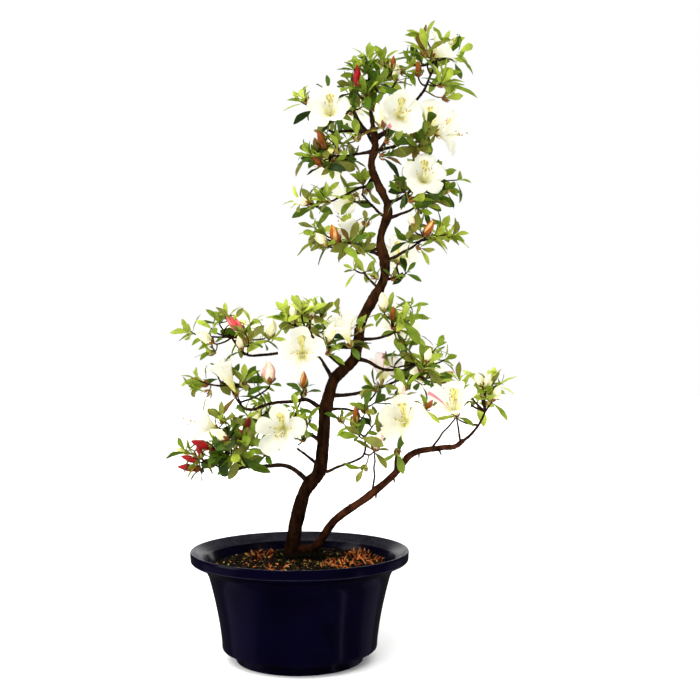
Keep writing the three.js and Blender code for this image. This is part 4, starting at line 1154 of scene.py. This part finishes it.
def add_bough(heap, number, name):
    """A limb with a knee near the trunk, a swollen foot and small nodes along it."""
    foot, control, tip, radii = bough_curve(name)
    length = norm(tip - foot)
    shares = np.linspace(0, 1, max(18, int(length / 1.6)))
    path = swayed(bowed(foot, control, tip, shares), shares, *BOUGH_SWAY, 60 + 3 * number)
    path[:, 2] += CROOKS.get(name, 0) * np.exp(-((shares - CROOK_SHARE) ** 2) / (2 * CROOK_SPREAD**2))
    away = np.maximum(norm(path - foot, axis=1) - 4, 0)
    swelling = 0.55 * np.exp(-away / 3.5) + leaf_nodes(shares * length, *BOUGH_NODES)
    tube(heap, path, mix(*radii, shares) * (1 + swelling), 14, 0, bark(0.22, 90 + number))


def make_boughs():
    limbs = Heap()
    for number, name in enumerate(BOUGHS):
        add_bough(limbs, number, name)
    limbs.build("bough_bark", "bark", [bark_bough], *(f"{name}_bough" for name in BOUGHS))


make_trunk()
make_second_stem()
make_boughs()


# The crown by the source's rule


def mass_stem(name):
    """The stem of a mass: its foot, bend and end, and how thick it starts."""
    end = vec(STEM_ENDS.get(name, MASSES[name][0]))
    if name in BOUGHS:
        _, control, foot, radii = bough_curve(name)
        along = unit(foot - control)
        thick = radii[1]
    else:
        carrier, height = CARRIERS[name]
        line = LINES[carrier]
        if height:
            foot = at_height(line, height)
            return foot, (foot + end) / 2 - UP * STEM_SAG, end, SIDE_STEM
        foot = line[-1]
        along = unit(foot - line[-2])
        thick = STEM_STARTS[carrier]
    return foot, foot + along * STEM_RUN * norm(end - foot), end, thick


def twig_from(stem, tip, axis):
    """Where a twig to a tip leaves its stem without turning back, or nothing."""
    knee = tip - KNEE_LENGTH * axis
    for share in TWIGS_ON_STEM:
        start = bowed(*stem[:3], [share])[0]
        leg = knee - start
        if leg @ axis > TWIG_FORWARD * norm(leg):
            return start, knee
    return None


def placed_sprays(name, seed):
    """The flowers and buds of a mass at their own places, and the room that they take up."""
    sprays = []
    filled = []
    for i, (mass, mouth, turn, tilt, radius, notch, stripes, depth) in enumerate(BLOOMS):
        if mass == name:
            facing = heading(turn, tilt)
            sprays.append(dict(kind="bloom", tip=vec(mouth) - facing * BLOOM_DEPTH, axis=facing,
                               radius=radius, notch=notch, stripes=stripes, depth=depth,
                               seed=seed + BLOOM_SEED + i))
            filled.append((vec(mouth) - facing * 0.3 * BLOOM_DEPTH, BLOOM_ROOM))
    for i, (mass, foot, turn, tilt, length, colour) in enumerate(BUDS):
        if mass == name:
            facing = heading(turn, tilt)
            sprays.append(dict(kind="bud", tip=vec(foot), axis=facing, length=length, colour=colour,
                               seed=seed + BUD_SEED + i))
            if i < SOURCE_BUDS:
                filled.append((vec(foot) + facing * 0.5 * BUD_LENGTH, SHOOT_ROOM))
    return sprays, filled


def leafy_sprays(name, stem, seed, filled):
    """Leafy shoots spread evenly round a mass wherever there is room."""
    middle, sides, shoots = MASSES[name]
    reach = vec([max(side - 0.72 * LEAF_LENGTH, 0.55 * side) for side in sides])
    outwards = middle - at_height(LINES["trunk"], middle[2])
    bearing = math.atan2(outwards[1], outwards[0])
    sprays = []
    for i in range(SHOOT_TRIES):
        if len(sprays) == shoots:
            break
        draw = seeded(seed + i)
        height = mix(-0.4, 0.92, (0.5 + i * math.sqrt(2)) % 1)
        angle = bearing + i * GOLDEN_ANGLE
        level = math.sqrt(1 - height * height)
        outward = vec((level * math.cos(angle), level * math.sin(angle), height))
        tip = middle + outward * reach * (1.02 - 0.2 * draw() * min(i, 1))
        axis = unit(outward + 0.55 * UP)
        if any(norm(place - tip) < room for place, room in filled):
            continue
        if twig_from(stem, tip, axis):
            sprays.append(dict(kind="leafy", tip=tip, axis=axis, seed=seed + SHOOT_SEED + i))
            filled.append((tip, SHOOT_ROOM))
    return sprays


def grow(number, name):
    """The shoots of a mass; a flower or bud that no twig of it can reach is left out."""
    stem = mass_stem(name)
    seed = MASS_SEED + 100 * number
    sprays, filled = placed_sprays(name, seed)
    sprays += leafy_sprays(name, stem, seed, filled)
    for spray in sprays:
        spray.update(mass=name, root=twig_from(stem, spray["tip"], spray["axis"]))
    return [spray for spray in sprays if spray["root"]]


crown = [spray for number, name in enumerate(MASSES) for spray in grow(number, name)]
blooms = [spray for spray in crown if spray["kind"] == "bloom"]
tips = [spray["tip"] for spray in crown]


# Leaves and twigs

# The funnel of a flower: the share along a lobe, of the radius and of the depth
FUNNEL = np.array([
    (0, 0.01, 0.05), (0.1, 0.12, 0.18), (0.2, 0.23, 0.34), (0.3, 0.33, 0.48), (0.4, 0.45, 0.61),
    (0.52, 0.58, 0.75), (0.65, 0.73, 0.87), (0.78, 0.86, 0.94), (0.9, 0.96, 0.96), (1, 1, 0.92),
])
FUNNEL_WALL = FUNNEL[:8]


def in_a_flower(points, flowers):
    """Whether any point lies in or just before the funnel of a flower."""
    for bloom in flowers:
        away = points - bloom["tip"]
        along = away @ bloom["axis"]
        out = norm(away - along[:, None] * bloom["axis"], axis=1)
        wall = np.interp(along / bloom["depth"], FUNNEL_WALL[:, 2], FUNNEL_WALL[:, 1]) * bloom["radius"]
        if np.any((along > 2) & (along < bloom["depth"] + 9) & (out < wall + LEAF_GAP)):
            return True
    return False


# The middle line of trunk and second stem together, and their radii along it
trunk_shares = np.linspace(0, 1, 200)
stem_shares = np.linspace(0, 1, 100)
solid_line = np.vstack((spline(TRUNK_BENDS, trunk_shares), spline(STEM_BENDS, stem_shares)))
solid_girth = np.append(mix(*TRUNK_RADII, trunk_shares**TAPER_POWER), mix(*STEM_RADII, stem_shares))

# Each leaf: its foot, direction, upper side, length, width, bend, fold and shade
leaf_rows = []


def add_leaf(foot, along, upper, length, width, bend, fold, shade, skip):
    """Keeps a leaf unless it runs into a flower, other than one to skip, or into the trunk or second stem."""
    steps = np.array((0.3, 0.65, 1.0))[:, None]
    line = foot + along * length * steps - upper * length * bend * 0.5 * steps**2
    near = [bloom for bloom in blooms if bloom is not skip and norm(bloom["tip"] - foot) < 70]
    gaps = norm(line[:, None] - solid_line[None], axis=-1) - solid_girth
    if gaps.min() >= LEAF_GAP and not in_a_flower(line, near):
        leaf_rows.append((foot, along, upper, length, width, bend, fold, shade))


def whorl(mass, tip, axis, count, opening, size, draw, level, skip=None):
    """Leaves round the end of a shoot, the small upright ones nearest its tip."""
    side, front = square_to(axis)
    longest = LEAF_LENGTH * size * LEAF_SIZES.get(mass, 1)
    start = draw() * CIRCLE
    for i in range(count):
        share = i / (count - 1)
        angle = start + i * GOLDEN_ANGLE + 0.5 * (draw() - 0.5)
        open_to = math.radians(mix(*opening, share) + 18 * (draw() - 0.5))
        outward = between(angle, side, front)
        along = unit(between(open_to, axis, outward))
        along = unit(along + UP * 0.12 * draw())
        upper = unit(axis - along * (axis @ along) + 0.5 * (draw() - 0.5) * np.cross(along, axis))
        upper = unit(upper - along * (upper @ along))
        length = longest * mix(0.72, 1.14, share) * mix(0.88, 1.14, draw())
        width = length * mix(*LEAF_WIDTHS, draw())
        shade = int(np.clip(round(level + 0.9 * (1 - share) + 1.3 * (draw() - 0.5)), 0, BRIGHTEST))
        if draw() < OLIVE_SHARES.get(mass, OLIVE_SHARE):
            shade = BROWN_LEAF if draw() < BROWN_SHARE else OLIVE_LEAF
        foot = tip - axis * (0.4 + 0.75 * i) + outward * 0.5
        bend = mix(*LEAF_BENDS, draw())
        add_leaf(foot, along, upper, length, width, bend, mix(*LEAF_FOLDS, draw()), shade, skip)


twigs = Heap()
paths = {name: [] for name in MASSES}


def add_twig(start, knee, end, radii, shade):
    """A twig, cut off where it would come out inside a flower."""
    gap = norm(end - start)
    shares = np.linspace(0, 1, max(7, int(gap / TWIG_STEP)))
    size, reach = TWIG_SWAY
    path = swayed(bowed(start, knee, end, shares), shares, size, min(reach, gap / 22), 200)
    girth = mix(*radii, shares) * (1 + leaf_nodes(shares * gap, *TWIG_NODES))
    while len(path) > 3 and in_a_flower(path, blooms):
        path = path[:-1]
        girth = girth[:-1]
    tube(twigs, path, girth, TWIG_SIDES, shade)
    return path


def has_room(tip, room):
    """Whether a tip stands clear of other tips and of the mouths of flowers."""
    if any(norm(tip - other) < room for other in tips):
        return False
    return all(norm(tip - bloom["tip"] - bloom["axis"] * 14) > 22 for bloom in blooms)


def part_way(path, share):
    """The point of a path at a share of the way along."""
    return path[int(share * (len(path) - 1))]


def grow_stem(number, name):
    """The stem of a mass, with a leafy side twig where the mass has no tufts."""
    foot, bend, end, thick = mass_stem(name)
    path = add_twig(foot, bend, end, (thick, 1), 0)
    paths[name].append(path)
    if name in TUFTED:
        return
    draw = seeded(STEM_SEED + number)
    root = part_way(path, 0.6)
    along = unit(end - foot)
    angle = (number + 1.8) * GOLDEN_ANGLE + draw()
    lean = unit(along * 0.5 + between(angle, *square_to(along)))
    tip = root + lean * mix(10, 19, draw())
    if has_room(tip, STEM_TWIG_ROOM):
        tips.append(tip)
        add_twig(root, root + lean * 6 + along * 2, tip, FINE_TWIG, 0)
        level = 1.0 + 1.2 * (draw() - 0.5)
        whorl(name, tip, unit(lean + 0.35 * UP), *WHORLS["stem_side"], draw, level)


def grow_spray(spray):
    """The twig and leaves of a flower, a bud or a leafy shoot, and on some a leafy side twig."""
    draw = seeded(spray["seed"])
    kind, mass, tip, axis = (spray[key] for key in ("kind", "mass", "tip", "axis"))
    middle, sides, _ = MASSES[mass]
    path = add_twig(*spray["root"], tip, SPRAY_TWIG, 0)
    paths[mass].append(path)
    # Painted light: leaves higher in their mass are dealt brighter shades, lower ones darker
    height = float(np.clip((tip[2] - middle[2]) / sides[2], -1, 1))
    level = 1.3 + 1.2 * height + 1.8 * (draw() - 0.5) + TONES.get(mass, 0)
    leafage = "small_bud" if kind == "bud" and spray["length"] < SMALL_BUD else kind
    whorl(mass, tip, axis, *WHORLS[leafage], draw, level - 0.3 if kind == "bloom" else level, spray)
    chance = 0.3 if kind != "leafy" else 0.5 if mass in TUFTED else 1
    if draw() > chance:
        return
    root = part_way(path, mix(0.3, 0.85, draw()))
    angle = draw() * CIRCLE
    lean = unit(axis * 0.5 + between(angle, *square_to(axis)) + UP * 0.25)
    end = root + lean * mix(15, 27, draw())
    if norm((end - middle) / sides) <= 0.88 and has_room(end, TWIG_ROOM):
        tips.append(end)
        add_twig(root, root + lean * 8 + axis * 3, end, FINE_TWIG, 1 if draw() < 0.35 else 0)
        whorl(mass, end, unit(lean + 0.35 * UP), *WHORLS["side"], draw, level - 0.35)


def grow_tuft(number, mass, tip, axis, count, size, level):
    """A leafy twig from the nearest wood of its mass that lies behind its tip."""
    near = np.vstack(paths[mass])
    behind = near[(tip - near) @ axis > 4]
    root = behind[np.argmin(norm(behind - tip, axis=1))]
    knee = tip - axis * min(8, 0.5 * norm(tip - root))
    add_twig(root, knee, tip, FINE_TWIG, number % 2)
    whorl(mass, tip, axis, count, TUFT_OPENING, size, seeded(TUFT_SEED + number), level)


def make_twigs():
    """All twigs; the leaves are dealt out on the way."""
    for number, name in enumerate(MASSES):
        grow_stem(number, name)
    for spray in crown:
        grow_spray(spray)
    for number, (mass, tip, turn, tilt, *leafage) in enumerate(TUFTS):
        grow_tuft(number, mass, vec(tip), heading(turn, tilt), *leafage)
    for share, knee, end in STALKS:
        add_twig(spline(STEM_BENDS, [share])[0], vec(knee), vec(end), STALK_RADII, 0)
    twigs.build("twigs", "bark", [bark_twig, bark_green])


def make_leaves():
    """The blades of all leaves at once: three points across at each step, and a pointed tip."""
    step, half_width = LEAF_OUTLINE.T
    along_blade = np.append(np.repeat(step, 3), 1)
    across_blade = np.append((half_width[:, None] * (-1, 0, 1)).ravel(), 0)
    feet, alongs, uppers, lengths, widths, bends, folds, shades = (
        np.array(column)[:, None] for column in zip(*leaf_rows))
    arc = bends * along_blade
    out = lengths * np.sin(arc) / bends
    drop = -lengths * (1 - np.cos(arc)) / bends
    fold = np.radians(folds) * (1 - 0.5 * along_blade)
    half = widths / 2 * across_blade
    wave = 0.035 * widths * np.abs(across_blade) * np.sin(15 * along_blade + lengths)
    rise = np.abs(half) * np.sin(fold) + wave
    points = (feet + alongs * (out + rise * np.sin(arc))[..., None]
              + np.cross(alongs, uppers) * (half * np.cos(fold))[..., None]
              + uppers * (drop + rise * np.cos(arc))[..., None])
    last = len(along_blade) - 1
    quads = grid_faces(len(step), 3)
    tip_faces = np.array(((last - 3, last - 2, last), (last - 2, last - 1, last)))
    first = (np.arange(len(leaf_rows)) * len(along_blade))[:, None, None]
    leaves = Heap()
    leaves.add(points, (quads + first).reshape(-1, 4), np.repeat(shades, len(quads)))
    leaves.close(0, (tip_faces + first).reshape(-1, 3), np.repeat(shades, len(tip_faces)))
    leaves.build("leaves", "foliage", leaf_shades, *(f"{name}_mass" for name in MASSES))


make_twigs()
make_leaves()


# Flowers and buds

petals = Heap()
threads = Heap()
bud_heap = Heap()
scales = Heap()

# A lobe of a flower as a grid of points, and the middles of its faces
LOBES = 5
LOBE_ROWS = 14
LOBE_COLUMNS = 15
ALONG = np.linspace(0, 1, LOBE_ROWS)
ACROSS = np.linspace(-1, 1, LOBE_COLUMNS)
FACE_ALONG, FACE_ACROSS = np.meshgrid(middles(ALONG), middles(ACROSS), indexing="ij")


def add_scale(foot, along, outward, length, width, shade):
    """A small pointed scale that hugs a bud or the foot of a flower."""
    across = np.cross(along, outward)
    rows = []
    for step, half, lift in SCALE_OUTLINE:
        spot = foot + along * step * length + outward * lift * length
        edge = across * half * width / 2
        bow = outward * 0.168 * half * width
        rows += [spot - edge - bow, spot, spot + edge - bow]
    scales.add(rows, grid_faces(len(SCALE_OUTLINE), 3), shade)


def add_calyx(foot, axis, draw):
    """A ring of scales, brown and green by turns."""
    side, front = square_to(axis)
    for k in range(SCALES_IN_RING):
        outward = between(CIRCLE * k / SCALES_IN_RING + draw(), side, front)
        start = foot - axis * 1.5 + outward * 0.8
        add_scale(start, unit(axis + 0.35 * outward), outward, mix(5, 10, draw()), 3.4, k % 2)


def lobe_points(spray, lobe, lean, upright, sideways, draw):
    """A lobe of the funnel, notched at its sides, with a ragged, rippled and curled rim."""
    t, u = ALONG[:, None], ACROSS[None]
    notch = spray["notch"]
    size = spray["radius"] * mix(0.92, 1.08, draw())
    ragged = 1 + 0.03 * np.sin(7 * u + 9 * draw()) + 0.02 * np.sin(17 * u + 9 * draw())
    reach = t * (1 - (1 - notch) * np.abs(u) ** mix(2, 2.6, draw())) * np.minimum(ragged, 1.04) / 1.04
    out = np.interp(reach, FUNNEL[:, 0], FUNNEL[:, 1]) * size
    deep = np.interp(reach, FUNNEL[:, 0], FUNNEL[:, 2]) * spray["depth"]
    phase = draw() * 6.3
    ripple = mix(0.8, 1.9, draw())
    curl = mix(-4, 3.5, draw())
    deep = deep + t**3 * (ripple * np.sin(5.2 * u + phase) * np.abs(u) + 0.55 * np.sin(12 * u + phase))
    deep = deep + 0.9 * t**2 * u - 1.8 * t**2 * (1 - u**2) + curl * t**3
    spread = math.pi / LOBES * (1 + mix(0.02, 0.2, notch) * smooth((t - 0.25) / 0.5))
    swing = CIRCLE / LOBES * lobe + lean + u * spread
    return (spray["tip"] + spray["axis"] * deep[..., None]
            + (np.cos(swing) * out)[..., None] * upright + (np.sin(swing) * out)[..., None] * sideways)


def lobe_shades(spray, lobe, draw):
    """The shade of each face: a yellow throat, a speckled blotch on the top lobe, and pink stripes."""
    t, u = FACE_ALONG, FACE_ACROSS
    plain = PLAIN_SHADES.get(spray["mass"], WHITE)
    shade = np.where(t < 0.22, THROAT, np.where(t < 0.4, CREAM, plain))
    specks = np.array([draw() for _ in range(t.size)]).reshape(t.shape)
    if lobe == 0 and spray["mass"] not in UNSPOTTED:
        blotch = (t < 0.64) & (np.abs(u) < 0.5 - 0.6 * np.abs(t - 0.4))
        shade = np.where(blotch, np.where(specks < 0.3, SPECK, BLOTCH), shade)
    elif lobe in (1, LOBES - 1):
        shade = np.where((t > 0.25) & (t < 0.5) & (np.abs(u) < 0.5) & (specks < 0.09), SPECK, shade)
    for striped, start in spray["stripes"]:
        if striped == lobe:
            gap = np.abs(u - mix(-0.25, 0.25, draw()))
            shade = np.where((gap < 0.25) & (t > start) & (specks < 0.5), BLUSH, shade)
            shade = np.where((gap < 0.04 + 0.12 * t) & (t > start), PINK, shade)
    return shade.ravel()


def add_stamens(foot, axis, upright, sideways, draw):
    """Five stamens and a longer pistil, which droop and turn up at their ends."""
    for k in range(6):
        pistil = k == 5
        angle = math.pi if pistil else math.pi + math.radians(-50 + 25 * k)
        outward = between(angle, upright, sideways)
        length = 33 if pistil else mix(21, 27, draw())
        start = foot + axis * 3 + outward * 0.8
        bend = start + axis * length * 0.55 + outward * mix(2, 4, draw())
        end = start + axis * length * 0.92 + outward * mix(3, 6, draw()) + upright * mix(1, 4, draw())
        path = bowed(start, bend, end, np.linspace(0, 1, 9))
        tube(threads, path, np.linspace(0.42, 0.28, 9) * (1.25 if pistil else 1), 6, 0)
        knob = path[-1] + unit(path[-1] - path[-2]) * np.linspace(-0.6, 1.2, len(KNOB_RADII))[:, None]
        tube(threads, knob, KNOB_RADII * (0.9 if pistil else 0.8), 7, 2 if pistil else 1)


def add_flower(spray):
    """Five lobes, the stamens of a flower that is open, and the calyx."""
    foot, axis = spray["tip"], spray["axis"]
    draw = seeded(spray["seed"] + 7)
    upright = unit(UP - axis * (axis @ UP))
    sideways = np.cross(upright, axis)
    lean = 0.3 * (draw() - 0.5)
    for lobe in range(LOBES):
        points = lobe_points(spray, lobe, lean, upright, sideways, draw)
        petals.add(points, grid_faces(LOBE_ROWS, LOBE_COLUMNS), lobe_shades(spray, lobe, draw))
    if spray["depth"] <= OPEN_DEPTH:
        add_stamens(foot, axis, upright, sideways, draw)
    add_calyx(foot, axis, draw)


def add_bud(spray):
    """A rolled bud of one or two colours, with scales round its foot."""
    foot, axis, length, colour = (spray[key] for key in ("tip", "axis", "length", "colour"))
    draw = seeded(spray["seed"] + 9)
    side, front = square_to(axis)
    step, girth = BUD_OUTLINE[:, :1], BUD_OUTLINE[:, 1:]
    thick = BUD_RADIUS * BUD_GIRTHS.get(colour, BUD_GIRTH) * (length / BUD_LENGTH) ** 0.7
    thick = thick * mix(0.9, 1.05, draw())
    turn = (ring(BUD_SIDES) + 1.5 * step)[..., None]
    ridge = 1 + 0.13 * np.cos(5 * ring(BUD_SIDES)) * np.sin(math.pi * step)
    out = thick * girth * ridge
    bow = 1.5 * (draw() - 0.5) * step**2 * length / 10
    spots = foot + axis * (0.5 + step * length)[..., None] + side * bow[..., None]
    points = spots + out[..., None] * (np.cos(turn) * side + np.sin(turn) * front)
    names = list(BUD_COLOURS)
    other = BUDS_OF_TWO.get(colour, colour)
    shade = np.where(np.arange(BUD_SIDES) % 5 < 3, names.index(colour), names.index(other))
    bud_heap.add(points, grid_faces(len(step), BUD_SIDES, True), np.tile(shade, len(step) - 1))
    for k in range(SCALES_IN_RING):
        outward = between(k * GOLDEN_ANGLE, side, front)
        start = foot - axis * (1.2 - 0.1 * k) + outward
        cover = length * mix(*BUD_COVERS.get(colour, BUD_COVER), draw())
        add_scale(start, unit(axis + 0.32 * outward), outward, cover, thick * 0.95, 0 if draw() < 0.7 else 1)


def make_flowers_and_buds():
    for number, (_, tip, turn, tilt, *_) in enumerate(TUFTS):
        axis = heading(turn, tilt)
        add_calyx(vec(tip) - axis * 4, axis, seeded(CALYX_SEED + number))
    for spray in crown:
        if spray["kind"] == "bloom":
            add_flower(spray)
        elif spray["kind"] == "bud":
            add_bud(spray)
    petals.build("petals", "foliage", petal_shades)
    threads.build("stamens", "foliage", [filament, anther, stigma])
    bud_heap.build("buds", "foliage", bud_shades)
    scales.build("bud_scales", "foliage", scale_shades)


make_flowers_and_buds()


# Floor, light and camera, in metres

scene = bpy.context.scene
FLOOR_REACH = 6
CROWN = (0.05, 0, 0.3)
NEUTRAL = (1, 1, 1)
BLUE = (0.68, 0.6, 1.0)

# Suns: the place, the strength and the spread in degrees
SUNS = [("key", (-0.7, -1.25, 1.6), 3.75, 65), ("back", (0.8, 1.3, 1.3), 2.2, 90)]

# Light boxes: the place, the aim, the strength, the width and height, and the colour
BOXES = [
    ("top_box", (-0.4, -0.7, 1.6), CROWN, 5, (0.5, 0.5), NEUTRAL),
    ("rear_strip", (0.05, 1.4, 0.45), (0, 0, 0.1), 2.4, (1.8, 0.25), NEUTRAL),
    ("left_box", (-1.3, -0.35, 0.5), (0, 0, 0.2), 6, (0.6, 1.2), NEUTRAL),
    ("left_low", (-1.1, 0, -0.55), (0, 0, 0.05), 0.8, (1.1, 0.8), BLUE),
    ("right_side", (1.06, 0.56, -0.5), (0, 0, 0.05), 0.4, (0.7, 0.8), BLUE),
    ("right_low", (0.97, -0.46, -0.62), (0, 0, 0.05), 0.3, (0.07, 0.8), BLUE),
]


def make_floor():
    mesh = bpy.data.meshes.new("floor")
    corners = [(x * FLOOR_REACH, y * FLOOR_REACH, 0) for x, y in ((-1, -1), (1, -1), (1, 1), (-1, 1))]
    mesh.from_pydata(corners, [], [(0, 1, 2, 3)])
    mesh.materials.append(material("floor_paper", (250, 250, 250), rough=0.9, vary=0.01, grain=4, fine=300,
                                   bump=0.02, level=0))
    floor = bpy.data.objects.new("floor", mesh)
    scene.collection.objects.link(floor)
    floor.visible_glossy = False
    floor.visible_shadow = False


def make_world():
    """White where it is seen, a dome that darkens downwards where it lights, and dim in reflections."""
    world = bpy.data.worlds.new("studio")
    world.use_nodes = True
    scene.world = world
    tree = world.node_tree
    place = node(tree, "ShaderNodeTexCoord")
    parts = node(tree, "ShaderNodeSeparateXYZ")
    wire(tree, place, "Generated", parts, "Vector")
    dome = ramp(tree, parts, "Z", (0, 0.7), ((0.16, 0.16, 0.16), NEUTRAL))
    light = tree.nodes["Background"]
    light.inputs["Strength"].default_value = 0.9
    wire(tree, dome, "Color", light, "Color")
    seen = node(tree, "ShaderNodeBackground", Color=(*NEUTRAL, 1), Strength=1)
    dim = node(tree, "ShaderNodeBackground", Color=(*NEUTRAL, 1), Strength=0.05)
    ray = node(tree, "ShaderNodeLightPath")

    def pick(kind, chosen, otherwise):
        either = node(tree, "ShaderNodeMixShader")
        wire(tree, ray, kind, either, "Fac")
        wire(tree, otherwise, 0, either, 1)
        wire(tree, chosen, 0, either, 2)
        return either

    lit = pick("Is Glossy Ray", dim, light)
    wire(tree, pick("Is Camera Ray", seen, lit), 0, tree.nodes["World Output"], "Surface")


def lamp(name, kind, spot, aim, energy):
    """A lamp at a spot that points at an aim."""
    data = bpy.data.lights.new(name, kind)
    data.energy = energy
    light = bpy.data.objects.new(name, data)
    scene.collection.objects.link(light)
    light.location = spot
    x, y, z = vec(aim) - vec(spot)
    light.rotation_euler = (math.atan2(math.hypot(x, y), -z), 0, math.atan2(-x, y))
    return light


def make_lamps():
    for name, spot, energy, spread in SUNS:
        sun = lamp(name, "SUN", spot, CROWN, energy)
        sun.data.angle = math.radians(spread)
        sun.visible_glossy = False
    for name, spot, aim, energy, (wide, tall), colour in BOXES:
        box = lamp(name, "AREA", spot, aim, energy)
        box.data.shape = "RECTANGLE"
        box.data.size = wide
        box.data.size_y = tall
        box.data.color = colour
        box.visible_camera = name != "rear_strip"


def make_camera():
    data = bpy.data.cameras.new("camera")
    data.lens = 56.57
    data.sensor_width = 36
    camera = bpy.data.objects.new("camera", data)
    camera.location = (0.050, -1.100, 0.3077)
    camera.rotation_euler = (math.pi / 2, 0, 0)
    scene.collection.objects.link(camera)
    scene.camera = camera


make_floor()
make_world()
make_lamps()
make_camera()
scene.view_settings.view_transform = "Standard"
scene.view_settings.look = "None"
